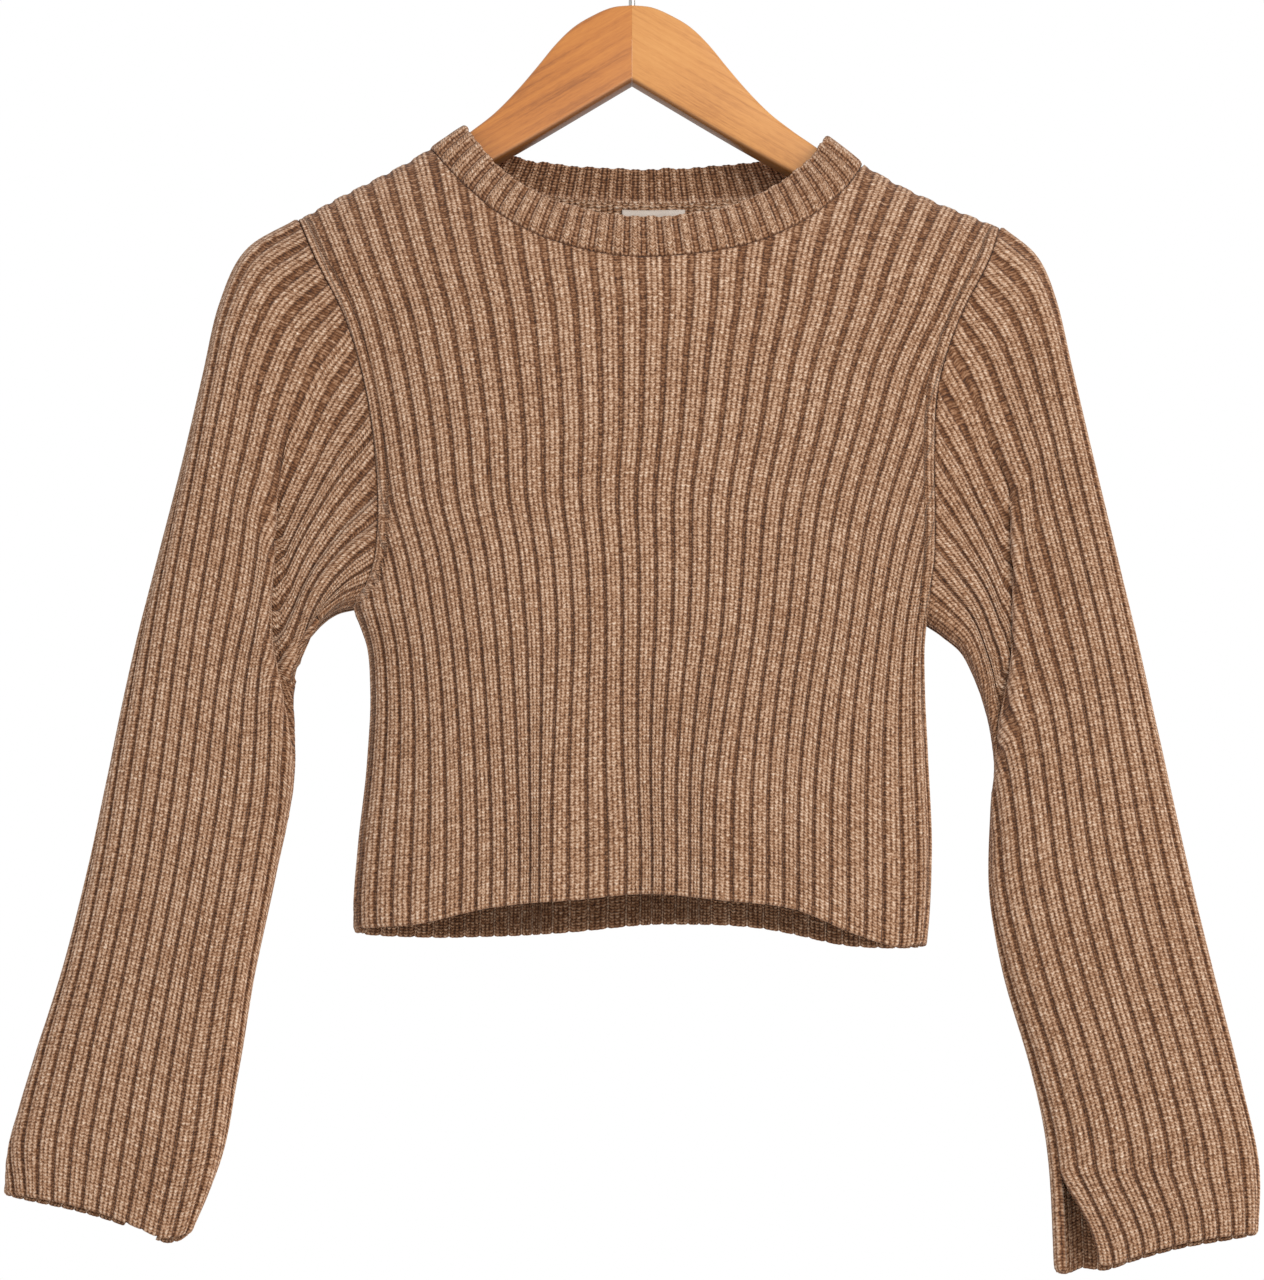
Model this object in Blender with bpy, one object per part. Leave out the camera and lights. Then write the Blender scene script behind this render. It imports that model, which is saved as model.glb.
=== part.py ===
"""Cropped rib-knit sweater on a wooden hanger.

The garment is cut as a knitter makes it: a front, a back, two sleeves, a neckband and
a small neck label. Each is a wall of cloth with its own edges, and neighbouring edges
lie a seam's width apart. The hanger is two mitred wooden arms on a steel wire hook.

Lengths in the tables are millimetres. "drop" is the distance straight down from the
inside of the hook's crown, where the rail carries everything; that point is the origin.
X runs to the viewer's right, -Y is the front of the garment, +Z is up.
"""

import math

import bmesh
import bpy
import numpy as np

MM = 0.001

# Cloth
WALL = 3.0            # thickness of the knit
SEAM = 0.3            # distance between two sewn edges
SEAM_UNDERARM = 4.4   # the same where four edges meet in the narrow underarm corner
NECK_SEAM = 0.5       # how far each edge stays back from the neck seam, which bends
NECK_CORNER = 1.2     # how much further near the seam's two side points
NECK_CORNER_REACH = 9.0
UNDERARM_REACH = 16.0  # how far from that corner the wider seam fades out

# Body: how far front and back stand off the middle plane
FRONT_DEPTH = 35.0
BACK_DEPTH = 32.0
FOLD_RADIUS = 11.5    # round of the cloth over the hanger's top edge
FOLD_POWER = 2.5
DEPTH_SPREAD = 75.0   # drop below the shoulder over which the full depth is reached
SIDE_POWER = 3.0      # roundness of the sides, seen from above
UNDERARM_ROUND = 45.0  # height over which the armhole closes at its lower end

# Hanger
WOOD_THICKNESS = 12.0
WOOD_EDGE_RADIUS = 3.0
MITRE_GAP = 0.3
WIRE_DIAMETER = 4.0
HOOK_INNER_RADIUS = 18.0
BORE_CLEARANCE = 0.3
STEM_DEPTH = 20.0     # how deep the wire sits in the wood
CROWN_START = -38.0   # degrees round the crown at which the S bend ends
CROWN_TURN = 236.0    # degrees from there to the wire's tip
BEND_REACH = 1.25     # how full the S bend is

# Neck label
LABEL_WIDTH = 38.0
LABEL_HEIGHT = 20.0
LABEL_THICKNESS = 0.8
LABEL_CENTRE = 13.0   # x of its middle
LABEL_BELOW_SEAM = 1.5
LABEL_GAP = 0.4       # between the label and the cloth behind it

# Facets of the cloth. The first table gives the places down an armhole seam, from shoulder
# to underarm, that body and sleeve share.
SEAM_PLACES = np.array(
    [0.0, 0.010, 0.028, 0.052, 0.09, 0.15, 0.22, 0.30, 0.39, 0.48, 0.57, 0.66, 0.75, 0.84, 0.93, 1.0]
)
NECK_COLUMNS = 18
SHOULDER_COLUMNS = 4
CORNER_CROWDING = 0.78  # how strongly columns crowd towards the two neck corners
ROWS_BELOW_UNDERARM = 6
FAN_ROWS = 9
TUBE_ROWS = 7
BAND_STEPS = 30
BAND_ROWS = 3
BAND_CROWDING = 0.55   # how strongly the band's columns crowd towards its side points
LABEL_ROWS = 3
LABEL_COLUMNS = 6
WOOD_EDGE_STEPS = 2
BORE_SIDES = 16
WIRE_BEND_STEPS = 8
WIRE_CROWN_STEPS = 24


def table(names, *rows):
    """A short table as one array for each named column."""
    columns = zip(*rows)
    return {name: np.array(column, float) for name, column in zip(names.split(), columns)}


# Edges of the body: the armhole seams down to the underarm, then the sides
bodyEdges = table(
    "drop left right",
    (188, -198.5, 220.0),
    (217, -187.0, 211.0),
    (252, -169.5, 193.5),
    (294, -156.5, 179.5),
    (337, -149.5, 176.0),
    (383, -147.5, 175.5),
    (403, -149.5, 174.5),
    (416, -154.5, 172.5),
    (425, -160.5, 171.5),
    (434, -157.5, 170.0),
    (447, -153.0, 168.5),
    (475, -150.0, 168.0),
    (516, -151.0, 169.0),
    (575, -156.0, 170.0),
    (605, -157.5, 168.0),
    (626, -156.5, 165.5),
)
UNDERARM_LEFT = 425.0
UNDERARM_RIGHT = 434.0

# Share of the body's depth at the armhole seams, by drop
armholeDepth = table(
    "drop share",
    (188, 1.0),
    (215, 1.0),
    (245, 0.80),
    (285, 0.60),
    (430, 0.54),
)

# Shoulder line with its smooth continuation across the open neck
shoulderLine = table(
    "x drop",
    (-198.5, 188.0),
    (-176.5, 174.6),
    (-153.5, 162.0),
    (-131.0, 149.2),
    (-112.5, 136.6),
    (-80.0, 115.0),
    (5.0, 92.0),
    (95.0, 119.0),
    (120.0, 136.6),
    (134.0, 149.0),
    (153.5, 162.2),
    (178.0, 175.0),
    (207.0, 187.6),
    (220.0, 193.6),
)

# Neckband, front half then back half, from the left side point to the right one
neckFront = table(
    "seamX seamDrop topX topDrop",
    (-121.0, 142.4, -99.5, 127.8),
    (-113.0, 154.5, -95.5, 136.5),
    (-97.0, 174.0, -82.5, 156.5),
    (-75.0, 194.0, -64.0, 173.5),
    (-45.0, 210.0, -38.5, 186.5),
    (-5.0, 219.5, -4.0, 194.3),
    (36.0, 218.0, 32.0, 193.2),
    (73.0, 210.0, 65.0, 184.5),
    (103.0, 194.5, 91.0, 168.5),
    (124.0, 175.5, 107.0, 152.0),
    (134.5, 160.5, 113.0, 140.5),
    (137.5, 151.9, 114.3, 133.4),
)
neckBack = table(
    "seamX seamDrop topX topDrop",
    (-121.0, 142.4, -99.5, 127.8),
    (-114.0, 149.0, -96.0, 131.5),
    (-92.0, 157.0, -79.0, 136.0),
    (-55.0, 162.5, -49.0, 141.5),
    (5.0, 166.5, 5.0, 144.5),
    (62.0, 165.0, 56.0, 142.5),
    (104.0, 160.5, 92.0, 139.0),
    (130.0, 156.5, 110.0, 137.0),
    (137.5, 151.9, 114.3, 133.4),
)

# Hems, seen from the front
hemFront = table(
    "x drop",
    (-156.5, 616.0),
    (-125.0, 617.5),
    (-80.0, 609.0),
    (-35.0, 604.5),
    (12.0, 601.5),
    (60.0, 606.5),
    (90.0, 609.5),
    (126.0, 622.5),
    (152.0, 628.0),
    (165.5, 624.0),
)
hemBack = table(
    "x drop",
    (-156.5, 616.0),
    (-113.0, 614.5),
    (-46.0, 611.5),
    (20.0, 605.5),
    (75.0, 608.5),
    (123.0, 619.5),
    (165.5, 624.0),
)

# Sleeves: outer and inner outline, half depths, and how far the underarm seam has
# turned from the inner edge on to the front face. "along" runs from armhole to cuff.
sleeveColumns = "along outerX outerDrop innerX innerDrop front back turn"
sleeveLeft = table(
    sleeveColumns,
    (0.00, -198.5, 188.0, -160.5, 425.0, 19.0, 18.0, 0.0),
    (0.06, -228.0, 206.5, -172.5, 428.0, 19.0, 18.0, 0.0),
    (0.12, -242.5, 239.5, -184.0, 437.0, 18.5, 18.0, 0.0),
    (0.18, -251.0, 283.0, -193.0, 450.0, 18.5, 18.0, 0.0),
    (0.25, -261.5, 338.0, -197.5, 466.0, 18.0, 18.0, 0.0),
    (0.33, -274.5, 398.0, -199.0, 482.0, 18.0, 18.0, 0.0),
    (0.41, -285.5, 448.0, -196.5, 503.0, 18.0, 18.0, 0.0),
    (0.49, -295.0, 500.0, -195.5, 528.0, 18.0, 18.0, 0.0),
    (0.60, -307.0, 571.0, -206.0, 586.0, 17.0, 17.0, -1.0),
    (0.71, -320.0, 634.0, -216.5, 641.5, 16.5, 16.5, -3.0),
    (0.82, -335.0, 688.0, -224.0, 694.0, 16.0, 16.0, -4.5),
    (0.92, -347.5, 737.0, -233.0, 746.0, 15.0, 15.0, -6.0),
    (1.00, -349.5, 767.0, -248.5, 785.0, 14.0, 14.0, -6.0),
)
sleeveRight = table(
    sleeveColumns,
    (0.00, 220.0, 193.6, 171.5, 434.0, 19.0, 18.0, 0.0),
    (0.06, 239.0, 211.5, 180.5, 441.5, 19.0, 18.0, 0.0),
    (0.12, 249.0, 238.5, 192.0, 452.0, 18.5, 18.0, 0.0),
    (0.18, 256.5, 278.0, 200.0, 469.5, 18.5, 18.0, 0.0),
    (0.25, 266.0, 326.0, 205.5, 488.0, 18.0, 18.0, 0.0),
    (0.33, 279.5, 391.0, 208.5, 505.5, 18.0, 18.0, 0.0),
    (0.41, 290.5, 444.0, 209.5, 523.0, 18.0, 18.0, 0.0),
    (0.49, 301.0, 500.0, 207.0, 543.0, 18.0, 18.0, 0.0),
    (0.60, 314.0, 571.0, 206.0, 592.0, 17.0, 17.0, 1.0),
    (0.71, 327.5, 639.0, 213.0, 640.0, 16.5, 16.5, 3.0),
    (0.82, 340.5, 700.0, 228.0, 698.0, 16.0, 16.0, 4.5),
    (0.92, 349.5, 751.0, 236.0, 748.0, 15.0, 15.0, 6.0),
    (1.00, 347.5, 788.0, 237.5, 806.0, 14.0, 14.0, 6.0),
)
# How far the cuff's edge dips below a straight cut, from the inner to the outer edge
cuffEdge = table(
    "across left right",
    (0.0, 2.0, 3.0),
    (0.05, 6.0, 4.0),
    (0.12, 8.5, 2.0),
    (0.25, 6.0, 5.0),
    (0.4, 2.5, 2.5),
    (0.6, 0.0, 0.0),
    (1.0, -1.0, 0.0),
)
CUFF_DIP_START = 0.86
FAN_END = 0.49        # from here down the sleeve is a plain tube
FAN_LEAVE = 0.85      # how long the ribs keep the direction in which they leave the seam
SLIT_START = 0.925    # top of the cuff slit, on the same scale
SLIT_WIDTH = 17.0     # how far its loose edge stands open at the cuff
CUFF_WIDTH = 105.0    # of the flat cuff

# Direction in which the sleeve's ribs leave the armhole seam, from shoulder to underarm
ribLeaving = table(
    "place outward down",
    (0.0, 0.90, 0.44),
    (0.25, 0.76, 0.65),
    (0.5, 0.62, 0.78),
    (0.8, 0.70, 0.71),
    (1.0, 0.80, 0.60),
)

# Deep fold inside each sleeve, where the upper sleeve hangs over the underarm web
sleeveFold = table(
    "side x0 drop0 x1 drop1 x2 drop2 depth",
    (-1, -199.0, 335.0, -206.5, 405.0, -197.0, 480.0, 11.0),
    (1, 209.0, 345.0, 213.0, 430.0, 206.0, 510.0, 9.0),
)
FOLD_STEP = 9.0       # width of the steep side of that fold
FOLD_RUN = 34.0       # distance over which the web comes forward again

# Hanger outline, for one side
woodTop = table(
    "x drop",
    (0.0, 48.6),
    (12.0, 50.0),
    (24.0, 55.5),
    (36.0, 63.5),
    (46.0, 74.0),
    (57.0, 88.5),
    (68.0, 102.5),
    (82.0, 118.0),
    (98.0, 131.5),
)
woodBottom = table(
    "x drop",
    (0.0, 98.5),
    (76.0, 147.0),
    (120.0, 171.5),
    (198.0, 211.0),
)
# Under the shoulders the wood follows the cloth's shoulder line, this far below its middle
woodShoulder = table(
    "x below",
    (114.0, 5.4),
    (124.0, 7.0),
    (136.0, 6.0),
    (158.0, 2.7),
    (180.0, 2.7),
    (194.0, 2.7),
)
WOOD_REACH = 206.0    # half the hanger's width
# The rounded tip: distance in from the reach, and below the last point of the top edge
woodTip = table(
    "inward below",
    (4.0, 7.0),
    (0.0, 13.0),
    (1.5, 20.0),
)


def smoothAt(places, values, place):
    """Value of a smooth curve through a table's rows, straight beyond its ends."""
    place = np.asarray(place, float)
    slopes = np.gradient(values, places)
    inside = np.clip(place, places[0], places[-1])
    row = np.clip(np.searchsorted(places, inside, side="right") - 1, 0, len(places) - 2)
    step = places[row + 1] - places[row]
    t = (inside - places[row]) / step
    start = (2 * t**3 - 3 * t**2 + 1) * values[row] + (t**3 - 2 * t**2 + t) * step * slopes[row]
    end = (3 * t**2 - 2 * t**3) * values[row + 1] + (t**3 - t**2) * step * slopes[row + 1]
    beyond = np.where(place < places[0], slopes[0], slopes[-1]) * (place - inside)
    return start + end + beyond


def smoothStep(low, high, value):
    t = np.clip((value - low) / (high - low), 0.0, 1.0)
    return t * t * (3.0 - 2.0 * t)


def bodyDepth(x, drop, face):
    """Distance of the front (face -1) or back (face 1) from the middle plane."""
    left = smoothAt(bodyEdges["drop"], bodyEdges["left"], drop)
    right = smoothAt(bodyEdges["drop"], bodyEdges["right"], drop)
    across = np.clip((2 * x - left - right) / (right - left), -1.0, 1.0)
    below = np.maximum(drop - smoothAt(shoulderLine["x"], shoulderLine["drop"], x), 0.0)
    roll = 1.0 - np.minimum(below / FOLD_RADIUS, 1.0)
    fold = FOLD_RADIUS * (1.0 - roll**FOLD_POWER) ** (1.0 / FOLD_POWER)
    depth = FRONT_DEPTH if face < 0 else BACK_DEPTH
    full = fold + (depth - FOLD_RADIUS) * (1.0 - np.exp(-below / DEPTH_SPREAD))
    underarm = np.where(across < 0, UNDERARM_LEFT, UNDERARM_RIGHT)
    closing = np.clip((underarm - drop) / UNDERARM_ROUND, 0.0, 1.0)
    share = smoothAt(armholeDepth["drop"], armholeDepth["share"], drop)
    share = share * np.sqrt(closing * (2.0 - closing))
    section = np.sqrt(share**2 + (1.0 - share**2) * (1.0 - np.abs(across) ** SIDE_POWER))
    return face * np.maximum(full * section, SEAM / 2)


def bodyPoint(x, drop, face):
    return np.array([x, float(bodyDepth(x, drop, face)), -drop])


def seamLine(rows, name):
    """Many points along one edge of the neckband, as x and drop."""
    place = np.linspace(0, len(rows["seamX"]) - 1, 400)
    index = np.arange(len(rows["seamX"]), dtype=float)
    x = smoothAt(index, rows[name + "X"], place)
    ridge = smoothAt(shoulderLine["x"], shoulderLine["drop"], x)
    drop = np.maximum(smoothAt(index, rows[name + "Drop"], place), ridge)
    drop[0], drop[-1] = ridge[0], ridge[-1]
    return x, drop


def seamCurve(rows, name, steps):
    """Points along a neckband edge, closer together towards its side points."""
    face = -1 if rows is neckFront else 1
    x, drop = seamLine(rows, name)
    y = bodyDepth(x, drop, face)
    y[0] = y[-1] = 0.0
    points = np.stack([x, y, -drop], axis=1)
    length = np.concatenate([[0], np.cumsum(np.linalg.norm(np.diff(points, axis=0), axis=1))])
    even = np.linspace(0, 1, steps + 1)
    crowded = (1 - np.cos(np.pi * even)) / 2
    wanted = ((1 - BAND_CROWDING) * even + BAND_CROWDING * crowded) * length[-1]
    return np.stack([np.interp(wanted, length, points[:, k]) for k in range(3)], axis=1)


def neckInset(x):
    """How far cloth edges stay back from the neck seam at this place along it."""
    corners = neckFront["seamX"][0], neckFront["seamX"][-1]
    away = np.minimum(np.abs(x - corners[0]), np.abs(x - corners[1]))
    return NECK_SEAM + NECK_CORNER * np.exp(-away / NECK_CORNER_REACH)


def panelTop(face, share):
    """Drop at which this column meets the shoulder or neck seam, and True for the neck."""
    seamX, seamDrop = seamLine(neckFront if face < 0 else neckBack, "seam")
    low, high = 120.0, 300.0
    for _ in range(40):
        drop = (low + high) / 2
        left = float(smoothAt(bodyEdges["drop"], bodyEdges["left"], drop))
        right = float(smoothAt(bodyEdges["drop"], bodyEdges["right"], drop))
        x = (1 - share) * left + share * right
        inNeck = seamX[0] + SEAM < x < seamX[-1] - SEAM
        edge = float(smoothAt(shoulderLine["x"], shoulderLine["drop"], x))
        if inNeck:
            edge = float(np.interp(x, seamX, seamDrop))
        if drop < edge:
            low = drop
        else:
            high = drop
    return (high + float(neckInset(x)), True) if inNeck else (high, False)


def clothShell(name, grid, thickness, material, offset=0.0):
    """A wall of cloth round a grid of points: two skins and the rim that joins them."""
    grid = np.array(grid)
    along = np.gradient(grid, axis=0)
    across = np.gradient(grid, axis=1)
    normal = np.cross(across, along)
    onMiddle = np.abs(grid[:, :, 1]) < SEAM
    normal[:, :, 1] = np.where(onMiddle, 0.0, normal[:, :, 1])
    normal /= np.linalg.norm(normal, axis=2, keepdims=True)
    outer = grid + normal * (offset + thickness / 2)
    inner = grid + normal * (offset - thickness / 2)
    rows, columns = grid.shape[:2]
    shell = bmesh.new()
    skins = [[[shell.verts.new(p * MM) for p in row] for row in skin] for skin in (outer, inner)]
    for r in range(rows - 1):
        for c in range(columns - 1):
            for skin, order in ((skins[0], 1), (skins[1], -1)):
                corners = (skin[r][c], skin[r][c + 1], skin[r + 1][c + 1], skin[r + 1][c])
                shell.faces.new(corners[::order])
    rim = [(0, c) for c in range(columns)]
    rim += [(r, columns - 1) for r in range(1, rows)]
    rim += [(rows - 1, c) for c in range(columns - 2, -1, -1)]
    rim += [(r, 0) for r in range(rows - 2, 0, -1)]
    for (r0, c0), (r1, c1) in zip(rim, rim[1:] + rim[:1]):
        shell.faces.new((skins[0][r0][c0], skins[1][r0][c0], skins[1][r1][c1], skins[0][r1][c1]))
    bmesh.ops.recalc_face_normals(shell, faces=shell.faces)
    return finish(name, shell, material)


def finish(name, shape, material):
    mesh = bpy.data.meshes.new(name)
    bmesh.ops.triangulate(shape, faces=shape.faces)
    shape.to_mesh(mesh)
    shape.free()
    mesh.shade_smooth()
    mesh.set_sharp_from_angle(angle=math.radians(40))
    mesh.materials.append(material)
    piece = bpy.data.objects.new(name, mesh)
    bpy.context.collection.objects.link(piece)
    return piece


def makeMaterial(name, colour, roughness, metallic=0.0):
    material = bpy.data.materials.new(name)
    material.use_nodes = True
    shader = material.node_tree.nodes["Principled BSDF"]
    shader.inputs["Base Color"].default_value = (*colour, 1.0)
    shader.inputs["Roughness"].default_value = roughness
    shader.inputs["Metallic"].default_value = metallic
    return material


def armholeSeam(side, face):
    """Points down one armhole seam on one face, from shoulder to underarm."""
    column = "left" if side < 0 else "right"
    top = float(smoothAt(shoulderLine["x"], shoulderLine["drop"], bodyEdges[column][0]))
    bottom = UNDERARM_LEFT if side < 0 else UNDERARM_RIGHT
    t = np.linspace(0.0, 1.0, 600)
    drop = top + (bottom - top) * (1 - np.cos(math.pi * t)) / 2
    x = smoothAt(bodyEdges["drop"], bodyEdges[column], drop)
    y = bodyDepth(x, drop, face)
    points = np.stack([x, y, -drop], axis=1)
    length = np.concatenate([[0], np.cumsum(np.linalg.norm(np.diff(points, axis=0), axis=1))])
    wanted = SEAM_PLACES * length[-1]
    return np.stack([np.interp(wanted, length, points[:, k]) for k in range(3)], axis=1)


def seamInset(places):
    """How far a panel's edge stays back from the armhole seam's middle line."""
    near = smoothStep(1.0 - UNDERARM_REACH / 100.0, 1.0, places)
    return SEAM / 2 + near * (SEAM_UNDERARM - SEAM) / 2


def columnShares():
    """Where a panel's columns lie between its edges: closest at the two neck corners."""
    corners = []
    for end in (0, -1):
        drop = neckFront["seamDrop"][end]
        left = float(smoothAt(bodyEdges["drop"], bodyEdges["left"], drop))
        right = float(smoothAt(bodyEdges["drop"], bodyEdges["right"], drop))
        corners.append((neckFront["seamX"][end] - left) / (right - left))
    first, last = corners
    t = np.linspace(0.0, 1.0, NECK_COLUMNS + 1)
    t = (1 - CORNER_CROWDING) * t + CORNER_CROWDING * (1 - np.cos(math.pi * t)) / 2
    ease = 1 - (1 - np.linspace(0.0, 1.0, SHOULDER_COLUMNS + 1)) ** 1.4
    left = first * ease[:-1]
    right = 1 - (1 - last) * ease[-2::-1]
    return np.concatenate([left, first + (last - first) * t, right])


def makeBodyPanel(name, face, material):
    """Front or back, from the shoulder and neck seams down to the hem."""
    hem = hemFront if face < 0 else hemBack
    left, right = bodyEdges["left"], bodyEdges["right"]
    seamLeft, seamRight = armholeSeam(-1, face), armholeSeam(1, face)
    inset = seamInset(SEAM_PLACES)
    armRows = len(SEAM_PLACES) - 1
    grid = []
    for share in columnShares():
        top, atNeck = panelTop(face, share)
        underarm = (1 - share) * UNDERARM_LEFT + share * UNDERARM_RIGHT
        column = []
        for r in range(armRows + 1):
            edgeDrop = (1 - share) * -seamLeft[r][2] + share * -seamRight[r][2]
            edgeTop = (1 - share) * -seamLeft[0][2] + share * -seamRight[0][2]
            drop = top + (edgeDrop - edgeTop) * (underarm - top) / (underarm - edgeTop)
            xLeft = float(smoothAt(bodyEdges["drop"], left, drop)) + inset[r]
            xRight = float(smoothAt(bodyEdges["drop"], right, drop)) - inset[r]
            column.append(bodyPoint((1 - share) * xLeft + share * xRight, drop, face))
        if not atNeck:
            column[0][1] = face * SEAM / 2
        bottom = float(smoothAt(hem["x"], hem["drop"], (1 - share) * hem["x"][0] + share * hem["x"][-1]))
        for r in range(1, ROWS_BELOW_UNDERARM + 1):
            t = r / ROWS_BELOW_UNDERARM
            drop = underarm + (bottom - underarm) * (0.7 * t + 0.3 * t * t)
            away = seamInset(1.0 - (drop - underarm) / 100.0) - SEAM / 2
            xLeft = float(smoothAt(bodyEdges["drop"], left, drop)) + away
            xRight = float(smoothAt(bodyEdges["drop"], right, drop)) - away
            column.append(bodyPoint((1 - share) * xLeft + share * xRight, drop, face))
        grid.append(column)
    grid = np.array(grid)
    if face > 0:
        grid = grid[::-1]
    return clothShell(name, grid.transpose(1, 0, 2), WALL, material)


def bodySlope(x, drop, face):
    """Change of depth with x and with drop, just inside the seam."""
    step = 0.5
    inward = -np.sign(x) * 1.0
    here = bodyDepth(x + inward, drop, face)
    slopeX = (bodyDepth(x + 2 * inward, drop, face) - here) / inward
    slopeDrop = (bodyDepth(x + inward, drop + step, face) - here) / step
    return slopeX, slopeDrop


def sleeveSection(rows, side, along, round_):
    """Point of the plain tube: round_ runs 0..1 from the inner edge over the front to the
    outer edge, and 1..2 back to the inner edge."""
    at = {name: float(smoothAt(rows["along"], rows[name], along)) for name in rows}
    outer = np.array([at["outerX"], 0.0, -at["outerDrop"]])
    inner = np.array([at["innerX"], 0.0, -at["innerDrop"]])
    width = np.linalg.norm(outer - inner)
    turn = at["turn"] / width
    place = (round_ + turn) % 2.0
    fine = np.linspace(0.0, math.pi, 60)
    front = place <= 1.0
    depth = at["front"] if front else at["back"]
    flat = (1 - np.cos(fine)) / 2
    rise = depth * np.sqrt(1 - np.abs(2 * flat - 1) ** SIDE_POWER)
    steps = np.hypot(np.diff(flat * width), np.diff(rise))
    length = np.concatenate([[0], np.cumsum(steps)])
    wanted = (place if front else 2.0 - place) * length[-1]
    share = np.interp(wanted, length, flat)
    y = np.interp(wanted, length, rise) * (-1 if front else 1)
    point = inner + (outer - inner) * share
    point[1] = y
    dip = float(smoothAt(cuffEdge["across"], cuffEdge["left" if side < 0 else "right"], share))
    point[2] -= dip * float(smoothStep(CUFF_DIP_START, 1.0, along))
    return point


def foldPush(side, point):
    """How far the deep sleeve fold pushes a point of the front face back."""
    row = 0 if side < 0 else 1
    f = {name: column[row] for name, column in sleeveFold.items()}
    drops = np.array([f["drop0"], f["drop1"], f["drop2"]])
    lip = np.interp(-point[2], drops, [f["x0"], f["x1"], f["x2"]])
    inward = -side * (point[0] - lip)
    span = (-point[2] - f["drop0"]) / (f["drop2"] - f["drop0"])
    strength = math.sin(math.pi * min(max(span, 0.0), 1.0)) ** 0.8
    steep = float(smoothStep(-FOLD_STEP / 2, FOLD_STEP / 2, inward))
    ease = math.exp(-max(inward, 0.0) / FOLD_RUN)
    return f["depth"] * strength * steep * ease


def makeSleeve(name, side, material):
    """A sleeve: one sheet from the underarm seam round the front, outer edge and back."""
    rows = sleeveLeft if side < 0 else sleeveRight
    half = len(SEAM_PLACES) - 1
    seams = {face: armholeSeam(side, face) for face in (-1, 1)}
    inset = seamInset(SEAM_PLACES)
    stations = [FAN_END * (r / FAN_ROWS) ** 1.15 for r in range(FAN_ROWS + 1)]
    stations += list(np.linspace(FAN_END, 1.0, TUBE_ROWS + 1)[1:])
    grid = []
    for c in range(2 * half + 1):
        face = -1 if c <= half else 1
        fromTop = abs(half - c)
        place = SEAM_PLACES[fromTop]
        round_ = 1.0 + face * place
        base = seams[face][fromTop].copy()
        if fromTop == 0:
            base[1] = 0.0
        slopeX, slopeDrop = bodySlope(base[0], -base[2], face)
        if place > 0.9 or place < 0.04:
            slopeX = slopeDrop = 0.0
        outward = float(smoothAt(ribLeaving["place"], ribLeaving["outward"], place))
        down = float(smoothAt(ribLeaving["place"], ribLeaving["down"], place))
        leave = np.array([side * outward, slopeX * side * outward + slopeDrop * down, -down])
        leave /= np.linalg.norm(leave)
        path = fanPath(rows, side, base, leave, round_)
        column = []
        for along in stations:
            if along < FAN_END:
                point = path(along) + outlineShift(rows, side, along, place, seams)
            else:
                point = sleeveSection(rows, side, along, openRound(side, along, round_))
            if face < 0 and 0 < fromTop < half:
                point[1] += foldPush(side, point)
            column.append(point)
        first = column[1] - column[0]
        column[0] = column[0] + first / np.linalg.norm(first) * inset[fromTop]
        grid.append(column)
    grid = partSeam(np.array(grid))
    if side < 0:
        grid = grid[::-1]
    return clothShell(name, grid.transpose(1, 0, 2), WALL, material)


def fanPath(rows, side, start, leave, round_):
    """Smooth path from an armhole point down to the start of the plain tube."""
    end = sleeveSection(rows, side, FAN_END, round_)
    after = sleeveSection(rows, side, FAN_END + 0.05, round_)
    chord = np.linalg.norm(end - start)
    startSlope = leave * chord * FAN_LEAVE
    endSlope = (after - end) / np.linalg.norm(after - end) * chord

    def point(along):
        t = along / FAN_END
        near = (2 * t**3 - 3 * t**2 + 1) * start + (t**3 - 2 * t**2 + t) * startSlope
        return near + (3 * t**2 - 2 * t**3) * end + (t**3 - t**2) * endSlope

    return point


def outlineShift(rows, side, along, place, seams):
    """Brings the outer and inner outlines on to the table's rows in the fan below the armhole."""
    shift = np.zeros(3)
    for edge, spot, weight in (("outer", 0, (1 - place) ** 2), ("inner", -1, place**2)):
        start = seams[-1][spot].copy()
        start[1] = 0.0
        outward, down = ribLeaving["outward"][spot], ribLeaving["down"][spot]
        path = fanPath(rows, side, start, np.array([side * outward, 0.0, -down]), 1.0 + spot)
        wantedX = float(smoothAt(rows["along"], rows[edge + "X"], along))
        wantedDrop = float(smoothAt(rows["along"], rows[edge + "Drop"], along))
        moved = np.array([wantedX, 0.0, -wantedDrop]) - path(along)
        shift += weight * moved * (1.0, 0.0, 1.0)
    return shift


def openRound(side, along, round_):
    """Round place of a column near the cuff, where the slit's loose edge stands open."""
    open_ = SLIT_WIDTH / CUFF_WIDTH * float(smoothStep(SLIT_START, 1.0, along)) ** 0.7
    if side > 0 and round_ < 1.0:
        return round_ + open_ * (1.0 - round_)
    if side < 0 and round_ > 1.0:
        return round_ - open_ * (round_ - 1.0)
    return round_


def partSeam(grid):
    """Keeps the two sewn edges of a sleeve a seam's width apart."""
    for edge, inward in ((0, 1), (-1, -2)):
        step = grid[inward] - grid[edge]
        step /= np.linalg.norm(step, axis=1, keepdims=True)
        grid[edge] = grid[edge] + step * SEAM / 2
    return grid


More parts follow.
